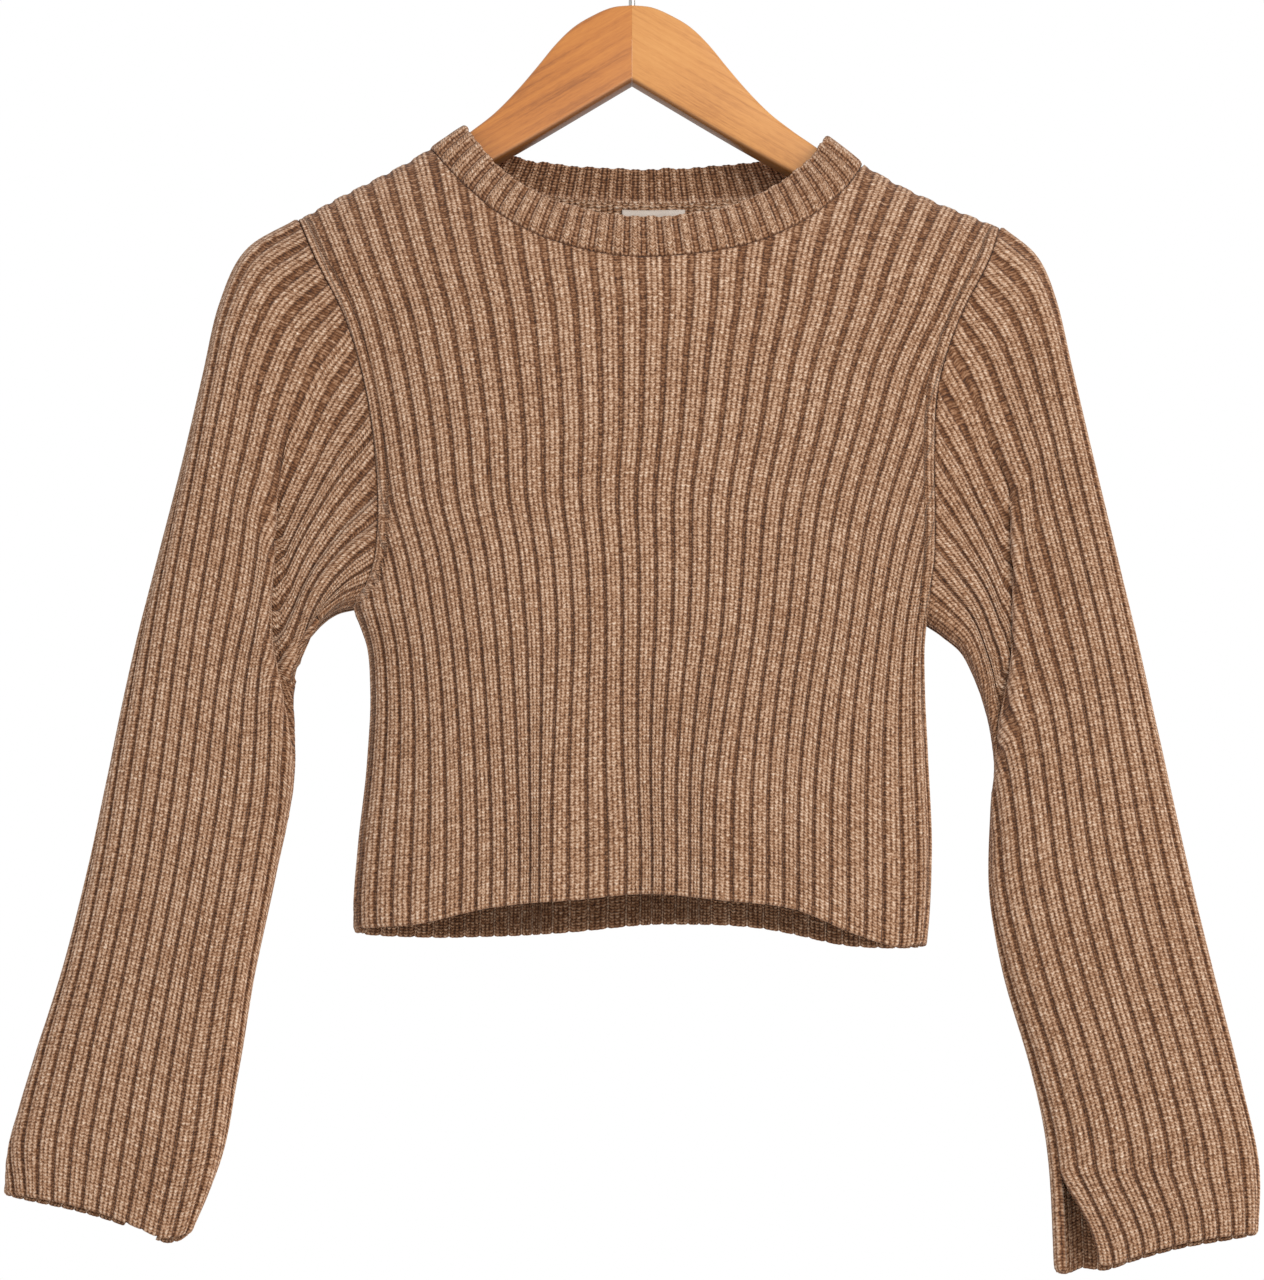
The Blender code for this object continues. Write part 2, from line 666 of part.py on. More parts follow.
def makeNeckband(material):
    """The neckband: a closed ring that stands up from the neck seam."""
    rings = []
    for name in ("seam", "top"):
        front = seamCurve(neckFront, name, BAND_STEPS)
        back = seamCurve(neckBack, name, BAND_STEPS)
        rings.append(np.concatenate([front, back[-2:0:-1]]))
    low, high = rings
    grid = []
    for r in range(BAND_ROWS + 1):
        t = r / BAND_ROWS
        ring = low + (high - low) * t
        if r == 0:
            rise = high - low
            rise /= np.linalg.norm(rise, axis=1, keepdims=True)
            ring = low + rise * neckInset(low[:, :1])
        grid.append(ring)
    grid = np.array(grid)
    ringShell(grid, "neckband", material)


def ringShell(grid, name, material):
    """A wall of cloth round a closed ring of points."""
    along = np.gradient(grid, axis=0)
    across = np.roll(grid, -1, axis=1) - np.roll(grid, 1, axis=1)
    normal = np.cross(across, along)
    normal /= np.linalg.norm(normal, axis=2, keepdims=True)
    shell = bmesh.new()
    skins = []
    for sign in (1, -1):
        skin = grid + sign * normal * WALL / 2
        skins.append([[shell.verts.new(p * MM) for p in row] for row in skin])
    rows, columns = grid.shape[:2]
    for c in range(columns):
        d = (c + 1) % columns
        for r in range(rows - 1):
            for skin in skins:
                shell.faces.new((skin[r][c], skin[r][d], skin[r + 1][d], skin[r + 1][c]))
        for r in (0, rows - 1):
            shell.faces.new((skins[0][r][c], skins[0][r][d], skins[1][r][d], skins[1][r][c]))
    bmesh.ops.recalc_face_normals(shell, faces=shell.faces)
    return finish(name, shell, material)


def makeLabel(material):
    """A small woven label that hangs inside the back, just under the neck seam."""
    grid = []
    for r in range(LABEL_ROWS + 1):
        row = []
        for c in range(LABEL_COLUMNS + 1):
            x = LABEL_CENTRE + LABEL_WIDTH * (c / LABEL_COLUMNS - 0.5)
            top = float(smoothAt(neckBack["seamX"], neckBack["seamDrop"], x)) + LABEL_BELOW_SEAM
            drop = top + LABEL_HEIGHT * r / LABEL_ROWS
            point = bodyPoint(x, drop, 1)
            point[1] -= WALL / 2 + LABEL_GAP + LABEL_THICKNESS / 2
            row.append(point)
        grid.append(row[::-1])
    return clothShell("neck_label", np.array(grid), LABEL_THICKNESS, material)


def makeArm(name, side, material):
    """Half of the hanger, cut from a flat board along its outline."""
    outline = []
    for x, drop in zip(woodTop["x"], woodTop["drop"]):
        outline.append((side * max(x, MITRE_GAP / 2), -drop))
    for x, below in zip(woodShoulder["x"], woodShoulder["below"]):
        lines = smoothAt(shoulderLine["x"], shoulderLine["drop"], np.array([-x, x]))
        outline.append((side * x, -float(lines.max()) - below))
    tipTop = outline[-1][1]
    for inward, below in zip(woodTip["inward"], woodTip["below"]):
        outline.append((side * (WOOD_REACH - inward), tipTop - below))
    for x, drop in zip(woodBottom["x"][::-1], woodBottom["drop"][::-1]):
        outline.append((side * max(x, MITRE_GAP / 2), -drop))
    board = bmesh.new()
    half = WOOD_THICKNESS / 2
    corners = [board.verts.new((x * MM, -half * MM, z * MM)) for x, z in outline]
    face = board.faces.new(corners)
    bmesh.ops.recalc_face_normals(board, faces=[face])
    pulled = bmesh.ops.extrude_face_region(board, geom=[face])
    moved = [v for v in pulled["geom"] if isinstance(v, bmesh.types.BMVert)]
    bmesh.ops.translate(board, verts=moved, vec=(0.0, WOOD_THICKNESS * MM, 0.0))
    bmesh.ops.recalc_face_normals(board, faces=board.faces)
    mitre = MITRE_GAP * MM
    long_ = [
        e for e in board.edges
        if abs(e.verts[0].co.y - e.verts[1].co.y) < 1e-6
        and not all(abs(v.co.x) < mitre for v in e.verts)
    ]
    bmesh.ops.bevel(
        board, geom=long_, offset=WOOD_EDGE_RADIUS * MM, segments=WOOD_EDGE_STEPS, profile=0.5,
        affect="EDGES", clamp_overlap=True,
    )
    arm = finish(name, board, material)
    bore = arm.modifiers.new("bore", "BOOLEAN")
    bore.operation = "DIFFERENCE"
    bore.object = makeBoreCutter()
    return arm


def makeBoreCutter():
    """The bore for the hook's stem, drilled down the mitre joint."""
    if "bore_cutter" in bpy.data.objects:
        return bpy.data.objects["bore_cutter"]
    top, bottom = -woodTop["drop"][0] + 10.0, -woodTop["drop"][0] - STEM_DEPTH - 1.0
    bpy.ops.mesh.primitive_cylinder_add(
        vertices=BORE_SIDES, radius=(WIRE_DIAMETER / 2 + BORE_CLEARANCE) * MM, depth=(top - bottom) * MM,
        location=(0.0, 0.0, (top + bottom) / 2 * MM),
    )
    cutter = bpy.context.object
    cutter.name = "bore_cutter"
    cutter.hide_render = True
    cutter.display_type = "WIRE"
    return cutter


def makeHook(material):
    """The wire hook: a straight stem, an S bend and three quarters of a round crown."""
    radius = HOOK_INNER_RADIUS + WIRE_DIAMETER / 2
    centre = -HOOK_INNER_RADIUS
    stemEnd = -woodTop["drop"][0] - STEM_DEPTH
    stemTop = -woodTop["drop"][0] + 4.0
    points = [(0.0, stemEnd + (stemTop - stemEnd) * k / 4) for k in range(5)]
    join = math.radians(CROWN_START)
    joinPoint = np.array([radius * math.cos(join), centre + radius * math.sin(join)])
    joinSlope = np.array([-math.sin(join), math.cos(join)])
    start, startSlope = np.array([0.0, stemTop]), np.array([0.0, 1.0])
    reach = np.linalg.norm(joinPoint - start) * BEND_REACH
    for k in range(1, WIRE_BEND_STEPS):
        t = k / WIRE_BEND_STEPS
        bend = (2 * t**3 - 3 * t**2 + 1) * start + (t**3 - 2 * t**2 + t) * startSlope * reach
        bend = bend + (3 * t**2 - 2 * t**3) * joinPoint + (t**3 - t**2) * joinSlope * reach
        points.append(tuple(bend))
    for k in range(WIRE_CROWN_STEPS + 1):
        angle = join + math.radians(CROWN_TURN) * k / WIRE_CROWN_STEPS
        points.append((radius * math.cos(angle), centre + radius * math.sin(angle)))
    curve = bpy.data.curves.new("hanger_hook", "CURVE")
    curve.dimensions = "3D"
    curve.bevel_depth = WIRE_DIAMETER / 2 * MM
    curve.bevel_resolution = 2
    curve.use_fill_caps = True
    spline = curve.splines.new("POLY")
    spline.points.add(len(points) - 1)
    for point, (x, z) in zip(spline.points, points):
        point.co = (x * MM, 0.0, z * MM, 1.0)
    curve.materials.append(material)
    hook = bpy.data.objects.new("hanger_hook", curve)
    bpy.context.collection.objects.link(hook)
    return hook


def main():
    for old in list(bpy.data.objects):
        bpy.data.objects.remove(old, do_unlink=True)
    knit = makeMaterial("knit_mocha", (0.36, 0.21, 0.125), 0.95)
    labelCloth = makeMaterial("label_grey", (0.62, 0.58, 0.55), 0.8)
    wood = makeMaterial("hanger_wood", (0.62, 0.30, 0.10), 0.45)
    steel = makeMaterial("hook_steel", (0.62, 0.62, 0.62), 0.3, 1.0)
    makeBodyPanel("front", -1, knit)
    makeBodyPanel("back", 1, knit)
    makeSleeve("sleeve_left", -1, knit)
    makeSleeve("sleeve_right", 1, knit)
    makeNeckband(knit)
    makeLabel(labelCloth)
    makeArm("hanger_arm_left", -1, wood)
    makeArm("hanger_arm_right", 1, wood)
    makeHook(steel)


main()
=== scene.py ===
# Cropped rib-knit sweater on a wooden hanger: the looks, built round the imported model.
# Tables are in millimetres. "drop" is the distance straight down from the inside of the
# hook's crown, which is the origin. X runs to the viewer's right, -Y is the garment's front.
import math

import bmesh
import bpy
import numpy as np
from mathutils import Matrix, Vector


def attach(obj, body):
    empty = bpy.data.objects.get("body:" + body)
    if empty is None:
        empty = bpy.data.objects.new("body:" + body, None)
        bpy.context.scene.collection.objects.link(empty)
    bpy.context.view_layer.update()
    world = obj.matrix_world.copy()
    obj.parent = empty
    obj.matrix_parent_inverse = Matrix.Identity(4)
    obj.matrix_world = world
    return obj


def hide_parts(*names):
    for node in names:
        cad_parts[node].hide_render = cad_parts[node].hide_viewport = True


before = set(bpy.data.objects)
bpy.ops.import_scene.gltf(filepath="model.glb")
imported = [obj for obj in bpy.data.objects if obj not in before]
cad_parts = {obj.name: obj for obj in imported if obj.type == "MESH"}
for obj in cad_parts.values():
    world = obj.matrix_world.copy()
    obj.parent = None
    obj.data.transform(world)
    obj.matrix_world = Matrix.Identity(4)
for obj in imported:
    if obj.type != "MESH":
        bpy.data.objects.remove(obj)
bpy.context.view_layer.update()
mm = 0.001


def rowsOf(names, *rows):
    # a short table as one array for each named column
    columns = zip(*rows)
    return {name: np.array(column, float) for name, column in zip(names.split(), columns)}


# Shapes that the garment's pieces share, the same as the model's own

seamInset = 0.06      # how far a sewn edge stays back from its seam
farAway = 99.0        # for places that are near no edge
frontDepth = 35.0     # how far the front stands off the middle plane
backDepth = 32.0
foldRadius = 11.5     # round of the cloth over the hanger's top edge
foldPower = 2.5
depthSpread = 75.0    # drop below the shoulder over which the full depth is reached
sidePower = 3.0       # roundness of the sides, seen from above
underarmRound = 45.0
underarmLeft = 425.0
underarmRight = 434.0

bodyEdges = rowsOf(
    "drop left right",
    (188, -198.5, 220.0),
    (217, -187.0, 211.0),
    (252, -169.5, 193.5),
    (294, -156.5, 179.5),
    (337, -149.5, 176.0),
    (383, -147.5, 175.5),
    (403, -149.5, 174.5),
    (416, -154.5, 172.5),
    (425, -160.5, 171.5),
    (434, -157.5, 170.0),
    (447, -153.0, 168.5),
    (475, -150.0, 168.0),
    (516, -151.0, 169.0),
    (575, -156.0, 170.0),
    (605, -157.5, 168.0),
    (626, -156.5, 165.5),
)
armholeDepth = rowsOf("drop share", (188, 1.0), (215, 1.0), (245, 0.80), (285, 0.60), (430, 0.54))
shoulderLine = rowsOf(
    "x drop",
    (-198.5, 188.0),
    (-176.5, 174.6),
    (-153.5, 162.0),
    (-131.0, 149.2),
    (-112.5, 136.6),
    (-80.0, 115.0),
    (5.0, 92.0),
    (95.0, 119.0),
    (120.0, 136.6),
    (134.0, 149.0),
    (153.5, 162.2),
    (178.0, 175.0),
    (207.0, 187.6),
    (220.0, 193.6),
)
neckFront = rowsOf(
    "seamX seamDrop topX topDrop",
    (-121.0, 142.4, -99.5, 127.8),
    (-113.0, 154.5, -95.5, 136.5),
    (-97.0, 174.0, -82.5, 156.5),
    (-75.0, 194.0, -64.0, 173.5),
    (-45.0, 210.0, -38.5, 186.5),
    (-5.0, 219.5, -4.0, 194.3),
    (36.0, 218.0, 32.0, 193.2),
    (73.0, 210.0, 65.0, 184.5),
    (103.0, 194.5, 91.0, 168.5),
    (124.0, 175.5, 107.0, 152.0),
    (134.5, 160.5, 113.0, 140.5),
    (137.5, 151.9, 114.3, 133.4),
)
neckBack = rowsOf(
    "seamX seamDrop topX topDrop",
    (-121.0, 142.4, -99.5, 127.8),
    (-114.0, 149.0, -96.0, 131.5),
    (-92.0, 157.0, -79.0, 136.0),
    (-55.0, 162.5, -49.0, 141.5),
    (5.0, 166.5, 5.0, 144.5),
    (62.0, 165.0, 56.0, 142.5),
    (104.0, 160.5, 92.0, 139.0),
    (130.0, 156.5, 110.0, 137.0),
    (137.5, 151.9, 114.3, 133.4),
)
hemFront = rowsOf(
    "x drop",
    (-156.5, 616.0),
    (-125.0, 617.5),
    (-80.0, 609.0),
    (-35.0, 604.5),
    (12.0, 601.5),
    (60.0, 606.5),
    (90.0, 609.5),
    (126.0, 622.5),
    (152.0, 628.0),
    (165.5, 624.0),
)
hemBack = rowsOf(
    "x drop",
    (-156.5, 616.0),
    (-113.0, 614.5),
    (-46.0, 611.5),
    (20.0, 605.5),
    (75.0, 608.5),
    (123.0, 619.5),
    (165.5, 624.0),
)
sleeveColumns = "along outerX outerDrop innerX innerDrop front back turn"
sleeveLeft = rowsOf(
    sleeveColumns,
    (0.00, -198.5, 188.0, -160.5, 425.0, 19.0, 18.0, 0.0),
    (0.06, -228.0, 206.5, -172.5, 428.0, 19.0, 18.0, 0.0),
    (0.12, -242.5, 239.5, -184.0, 437.0, 18.5, 18.0, 0.0),
    (0.18, -251.0, 283.0, -193.0, 450.0, 18.5, 18.0, 0.0),
    (0.25, -261.5, 338.0, -197.5, 466.0, 18.0, 18.0, 0.0),
    (0.33, -274.5, 398.0, -199.0, 482.0, 18.0, 18.0, -2.0),
    (0.41, -285.5, 448.0, -196.5, 503.0, 18.0, 18.0, -6.5),
    (0.49, -295.0, 500.0, -195.5, 528.0, 18.0, 18.0, -8.5),
    (0.60, -307.0, 571.0, -206.0, 586.0, 17.0, 17.0, -11.5),
    (0.71, -320.0, 634.0, -216.5, 641.5, 16.5, 16.5, -13.5),
    (0.82, -335.0, 688.0, -224.0, 694.0, 16.0, 16.0, -16.5),
    (0.92, -347.5, 737.0, -233.0, 746.0, 15.0, 15.0, -20.0),
    (1.00, -349.5, 767.0, -248.5, 785.0, 14.0, 14.0, -22.0),
)
sleeveRight = rowsOf(
    sleeveColumns,
    (0.00, 220.0, 193.6, 171.5, 434.0, 19.0, 18.0, 0.0),
    (0.06, 239.0, 211.5, 180.5, 441.5, 19.0, 18.0, 0.0),
    (0.12, 249.0, 238.5, 192.0, 452.0, 18.5, 18.0, 0.0),
    (0.18, 256.5, 278.0, 200.0, 469.5, 18.5, 18.0, 0.0),
    (0.25, 266.0, 326.0, 205.5, 488.0, 18.0, 18.0, 0.0),
    (0.33, 279.5, 391.0, 208.5, 505.5, 18.0, 18.0, 0.0),
    (0.41, 290.5, 444.0, 209.5, 523.0, 18.0, 18.0, 0.0),
    (0.49, 301.0, 500.0, 207.0, 543.0, 18.0, 18.0, 0.0),
    (0.60, 314.0, 571.0, 206.0, 592.0, 17.0, 17.0, 1.0),
    (0.71, 327.5, 639.0, 213.0, 640.0, 16.5, 16.5, 3.0),
    (0.82, 340.5, 700.0, 228.0, 698.0, 16.0, 16.0, 4.5),
    (0.92, 349.5, 751.0, 236.0, 748.0, 15.0, 15.0, 6.0),
    (1.00, 347.5, 788.0, 237.5, 806.0, 14.0, 14.0, 6.0),
)
cuffEdge = rowsOf(
    "across left right",
    (0.0, 2.0, 3.0),
    (0.05, 6.0, 4.0),
    (0.12, 8.5, 2.0),
    (0.25, 6.0, 5.0),
    (0.4, 2.5, 2.5),
    (0.6, 0.0, 0.0),
    (1.0, -1.0, 0.0),
)
ribLeaving = rowsOf(
    "place left right",  # degrees below the horizontal at which ribs leave the armhole
    (0.0, 26, 26),
    (0.25, 40, 40),
    (0.45, 52, 51),
    (0.6, 48, 54),
    (0.7, 45, 52),
    (0.8, 36, 45),
    (0.9, 29, 38),
    (1.0, 21, 35),
)
cuffDipStart = 0.86
fanEnd = 0.49         # from here down the sleeve is a plain tube
slitStart = 0.925     # top of the cuff slit, on the same scale
slitWidth = 17.0      # how far its loose edge stands open at the cuff
cuffHalf = 105.0      # half of the way round the cuff


def smoothAt(places, values, place):
    # value of a smooth curve through a table's rows, straight beyond its ends
    place = np.asarray(place, float)
    slopes = np.gradient(values, places)
    inside = np.clip(place, places[0], places[-1])
    row = np.clip(np.searchsorted(places, inside, side="right") - 1, 0, len(places) - 2)
    step = places[row + 1] - places[row]
    t = (inside - places[row]) / step
    start = (2 * t**3 - 3 * t**2 + 1) * values[row] + (t**3 - 2 * t**2 + t) * step * slopes[row]
    end = (3 * t**2 - 2 * t**3) * values[row + 1] + (t**3 - t**2) * step * slopes[row + 1]
    beyond = np.where(place < places[0], slopes[0], slopes[-1]) * (place - inside)
    return start + end + beyond


def smoothStep(low, high, value):
    t = np.clip((value - low) / (high - low), 0.0, 1.0)
    return t * t * (3.0 - 2.0 * t)


def mix(first, second, share):
    return first + (second - first) * share


def arcLength(points):
    steps = np.linalg.norm(np.diff(points, axis=0), axis=1)
    return np.concatenate([[0.0], np.cumsum(steps)])


def bodyDepth(x, drop, face):
    left = smoothAt(bodyEdges["drop"], bodyEdges["left"], drop)
    right = smoothAt(bodyEdges["drop"], bodyEdges["right"], drop)
    across = np.clip((2 * x - left - right) / (right - left), -1.0, 1.0)
    below = np.maximum(drop - smoothAt(shoulderLine["x"], shoulderLine["drop"], x), 0.0)
    roll = 1.0 - np.minimum(below / foldRadius, 1.0)
    fold = foldRadius * (1.0 - roll**foldPower) ** (1.0 / foldPower)
    depth = frontDepth if face < 0 else backDepth
    full = fold + (depth - foldRadius) * (1.0 - np.exp(-below / depthSpread))
    underarm = np.where(across < 0, underarmLeft, underarmRight)
    closing = np.clip((underarm - drop) / underarmRound, 0.0, 1.0)
    share = smoothAt(armholeDepth["drop"], armholeDepth["share"], drop)
    share = share * np.sqrt(closing * (2.0 - closing))
    section = np.sqrt(share**2 + (1.0 - share**2) * (1.0 - np.abs(across) ** sidePower))
    return face * np.maximum(full * section, 0.15)


def addObject(name, data):
    thing = bpy.data.objects.new(name, data)
    bpy.context.scene.collection.objects.link(thing)
    return thing


def faceOutward(mesh):
    shape = bmesh.new()
    shape.from_mesh(mesh)
    bmesh.ops.recalc_face_normals(shape, faces=shape.faces)
    shape.to_mesh(mesh)
    shape.free()


def linear(text):
    # an sRGB hex colour as linear values
    parts = [int(text[k : k + 2], 16) / 255 for k in (1, 3, 5)]
    return tuple(c / 12.92 if c < 0.04045 else ((c + 0.055) / 1.055) ** 2.4 for c in parts) + (1.0,)


def addNode(tree, kind, settings):
    # a value that is another node's socket is linked, any other value is set
    node = tree.nodes.new("ShaderNode" + kind)
    for name, value in settings.items():
        if isinstance(value, bpy.types.NodeSocket):
            tree.links.new(value, node.inputs[name])
        elif isinstance(name, int) or name in node.inputs:
            node.inputs[name].default_value = value
        else:
            setattr(node, name, value)
    return node


def newMaterial(name, settings):
    material = bpy.data.materials.new(name)
    material.use_nodes = True
    tree = material.node_tree
    shader = tree.nodes["Principled BSDF"]
    for socket, value in settings.items():
        shader.inputs[socket].default_value = value
    return material, tree, shader


def setRamp(node, stops):
    band = node.color_ramp
    while len(band.elements) < len(stops):
        band.elements.new(0.5)
    for element, (place, colour) in zip(band.elements, stops):
        element.position = place
        element.color = linear(colour)


# Melange cotton-blend yarn, knitted in a chunky rib: light and dark fibres are spun into one yarn, so
# each stitch has its own tone. Painted shade darkens the purl grooves between the ribs, the gaps between
# wales and the edges of each stitch, and a painted highlight lightens each stitch's middle
knitLook = {
    "stops": (
        (0.0, "#3f220f"),
        (0.26, "#704626"),
        (0.50, "#a0785a"),
        (0.74, "#c9a98f"),
        (1.0, "#ead5c1"),
    ),
    "shader": {"Roughness": 0.93, "Sheen Weight": 0.07, "Sheen Roughness": 0.5},
    "bump": 0.0012,      # metres, half the yarn's thickness
    "legSlope": 0.9,     # how far the legs of a stitch rise from its middle, in courses
    "fleckAcross": 1.1,  # flecks for each wale of 2.4 mm
    "fleckAlong": 0.6,   # flecks for each course of 1.8 mm
    "middle": 0.35,      # tone of the yarn, to which the next six are added
    "stitchTone": 0.2,   # from stitch to stitch
    "fleckTone": 0.9,    # from fibre to fibre
    "cloudTone": 0.14,   # broad patches
    "loopPaintedShade": 0.48,    # painted highlight in a stitch's middle, painted shade at its edge
    "waleGapPaintedShade": -1.36,  # painted shade between two wales
    "groovePaintedShade": 0.29,  # painted shade in the grooves, lighter on the ridges
    "roundHeight": -1.6,
    "loopHeight": 0.85,
    "fleckHeight": 0.35,
}


def makeKnit(name, look):
    material, tree, shader = newMaterial(name, look["shader"])
    uv = addNode(tree, "UVMap", {"uv_map": "stitches"}).outputs[0]
    split = addNode(tree, "SeparateXYZ", {0: uv})
    wale, course = split.outputs["X"], split.outputs["Y"]
    relief = addNode(tree, "Attribute", {"attribute_name": "relief"}).outputs["Fac"]
    # the two legs of each knit stitch, and flat bars where the relief is low
    aside = addNode(tree, "Math", {"operation": "PINGPONG", 0: wale, 1: 0.5}).outputs[0]
    rise = addNode(tree, "Math", {"operation": "MULTIPLY", 0: aside, 1: look["legSlope"]}).outputs[0]
    rise = addNode(tree, "Math", {"operation": "MULTIPLY", 0: rise, 1: relief}).outputs[0]
    phase = addNode(tree, "Math", {"operation": "SUBTRACT", 0: course, 1: rise}).outputs[0]
    loop = addNode(tree, "Math", {"operation": "PINGPONG", 0: phase, 1: 0.5}).outputs[0]
    square = addNode(tree, "Math", {"operation": "MULTIPLY", 0: aside, 1: aside}).outputs[0]
    # one tone for each stitch
    row = addNode(tree, "Math", {"operation": "FLOOR", 0: phase}).outputs[0]
    column = addNode(tree, "Math", {"operation": "ROUND", 0: wale}).outputs[0]
    cell = addNode(tree, "CombineXYZ", {0: column, 1: row}).outputs[0]
    each = addNode(tree, "TexWhiteNoise", {"noise_dimensions": "2D", 0: cell}).outputs["Value"]
    # flecks of light and dark fibre along the yarn
    across = addNode(tree, "Math", {"operation": "MULTIPLY", 0: wale, 1: look["fleckAcross"]}).outputs[0]
    along = addNode(tree, "Math", {"operation": "MULTIPLY", 0: course, 1: look["fleckAlong"]}).outputs[0]
    place = addNode(tree, "CombineXYZ", {0: across, 1: along}).outputs[0]
    fleck = addNode(tree, "TexNoise", {
        "noise_dimensions": "2D", "Vector": place, "Scale": 1.7, "Detail": 2.0, "Roughness": 0.6,
    }).outputs[0]
    space = addNode(tree, "TexCoord", {}).outputs["Object"]
    cloud = addNode(tree, "TexNoise", {"Vector": space, "Scale": 38.0, "Detail": 3.0}).outputs[0]
    # each part of the tone varies about its own middle value
    tone = look["middle"]
    parts = (
        (each, "stitchTone", 0.5),
        (fleck, "fleckTone", 0.5),
        (cloud, "cloudTone", 0.5),
        # the last three parts are painted light: a stitch's lit middle and shaded edge, shade between
        # wales, shade in the grooves
        (loop, "loopPaintedShade", 0.25),
        (square, "waleGapPaintedShade", 0.1),
        (relief, "groovePaintedShade", 0.55),
    )
    for part, setting, centre in parts:
        share = look[setting]
        scaled = addNode(tree, "Math", {
            "operation": "MULTIPLY_ADD", 0: part, 1: share, 2: -share * centre,
        }).outputs[0]
        tone = addNode(tree, "Math", {"operation": "ADD", 0: tone, 1: scaled}).outputs[0]
    ramp = addNode(tree, "ValToRGB", {0: tone})
    setRamp(ramp, look["stops"])
    height = 0.4
    for part, setting in ((square, "roundHeight"), (loop, "loopHeight"), (fleck, "fleckHeight")):
        height = addNode(tree, "Math", {
            "operation": "MULTIPLY_ADD", 0: part, 1: look[setting], 2: height,
        }).outputs[0]
    bump = addNode(tree, "Bump", {"Strength": 1.0, "Distance": look["bump"], "Height": height})
    tree.links.new(ramp.outputs["Color"], shader.inputs["Base Color"])
    tree.links.new(bump.outputs["Normal"], shader.inputs["Normal"])
    return material


# All the cloth is built from columns of points that run down the ribs
ribProfile = rowsOf(
    "wale height",       # one rib: groove centre, its foot, three knit wales, and back
    (0.0, 0.00),
    (0.28, 0.05),
    (0.5, 0.48),
    (1.0, 0.97),
    (1.5, 0.86),
    (2.0, 1.05),
    (2.5, 0.86),
    (3.0, 0.97),
    (3.5, 0.48),
    (3.72, 0.05),
    (4.0, 0.00),
)
clothLook = {
    "ridgeWidth": 7.6,   # a rib's three knit wales, when nothing stretches them
    "grooveGain": 0.66,  # the part of any wider spacing that opens the groove
    "grooveMost": 0.2,
    "grooveLeast": 0.07,
    "outerLow": 0.3,     # the outer skin above the middle of the cloth, in a groove
    "relief": 2.1,       # how much higher a ridge stands
    "innerLow": 1.1,     # the inner skin below the middle, behind a ridge
    "innerRelief": 1.5,
    "course": 1.8,       # height of one stitch
    "longStart": 6,      # a rib that starts this many rows later than its neighbour is late
    "middleReach": 0.3,  # this near the middle plane the cloth faces straight out to its side
    "ringGap": 8,        # stitches: a wider face is the one that closes a ring
    "ringStep": 0.5,
}


def grooveShare(pitch):
    # half of the groove's width, as a share of the distance between ribs
    look = clothLook
    share = look["grooveGain"] * (pitch - look["ridgeWidth"]) / (2 * pitch)
    return np.clip(share, look["grooveLeast"], look["grooveMost"])


def ribPlace(wale, groove):
    # place across one rib, 0 to 1, of a wale number from 0 to 4
    low = groove * wale / 0.5
    middle = groove + (1 - 2 * groove) * (wale - 0.5) / 3
    high = 1 - groove * (4 - wale) / 0.5
    return np.where(wale < 0.5, low, np.where(wale > 3.5, high, middle))


def waleAt(place, groove):
    # the other way round
    low = 0.5 * place / groove
    middle = 0.5 + 3 * (place - groove) / (1 - 2 * groove)
    high = 4 - 0.5 * (1 - place) / groove
    return np.where(place < groove, low, np.where(place > 1 - groove, high, middle))


def reliefAt(wale):
    return np.interp(wale, ribProfile["wale"], ribProfile["height"])


def clothOffsets(relief, calm=1.0):
    # how far the two skins stand off the middle of the cloth
    outer = clothLook["outerLow"] + clothLook["relief"] * relief
    inner = clothLook["innerLow"] + clothLook["innerRelief"] * (1 - relief) * calm
    return outer, inner


def joinColumns(faces, left, right, firstLeft, firstRight, stop):
    # faces between two neighbouring columns, whose keys say which rows belong together;
    # beside a long stretch where no rib starts, the edge follows the ribs that are there
    i = j = 0
    if right[0] - left[0] > clothLook["longStart"]:
        i = sum(key <= right[0] - 1 for key in left) - 1
    if left[0] - right[0] > clothLook["longStart"]:
        j = sum(key <= left[0] - 1 for key in right) - 1
    while i < len(left) - 1 or j < len(right) - 1:
        nextLeft = left[i + 1] if i < len(left) - 1 else math.inf
        nextRight = right[j + 1] if j < len(right) - 1 else math.inf
        if min(nextLeft, nextRight) > stop:
            break
        a, b = firstLeft + i, firstRight + j
        if nextLeft == nextRight:
            faces.append((a, a + 1, b + 1, b))
            i, j = i + 1, j + 1
        elif nextLeft < nextRight:
            faces.append((a, a + 1, b))
            i += 1
        else:
            faces.append((a, b + 1, b))
            j += 1


def vertexNormals(points, faces):
    # not yet of unit length, so larger faces count for more
    triangles = [f[:3] for f in faces] + [(f[0], f[2], f[3]) for f in faces if len(f) == 4]
    triangles = np.array(triangles)
    a, b, c = (points[triangles[:, k]] for k in range(3))
    cross = np.cross(b - a, c - a)
    normals = np.zeros_like(points)
    for k in range(3):
        np.add.at(normals, triangles[:, k], cross)
    return normals


def rimEdges(faces):
    # directed edges that only one face uses
    used = {(a, b) for f in faces for a, b in zip(f, f[1:] + f[:1])}
    return sorted((a, b) for a, b in used if (b, a) not in used)


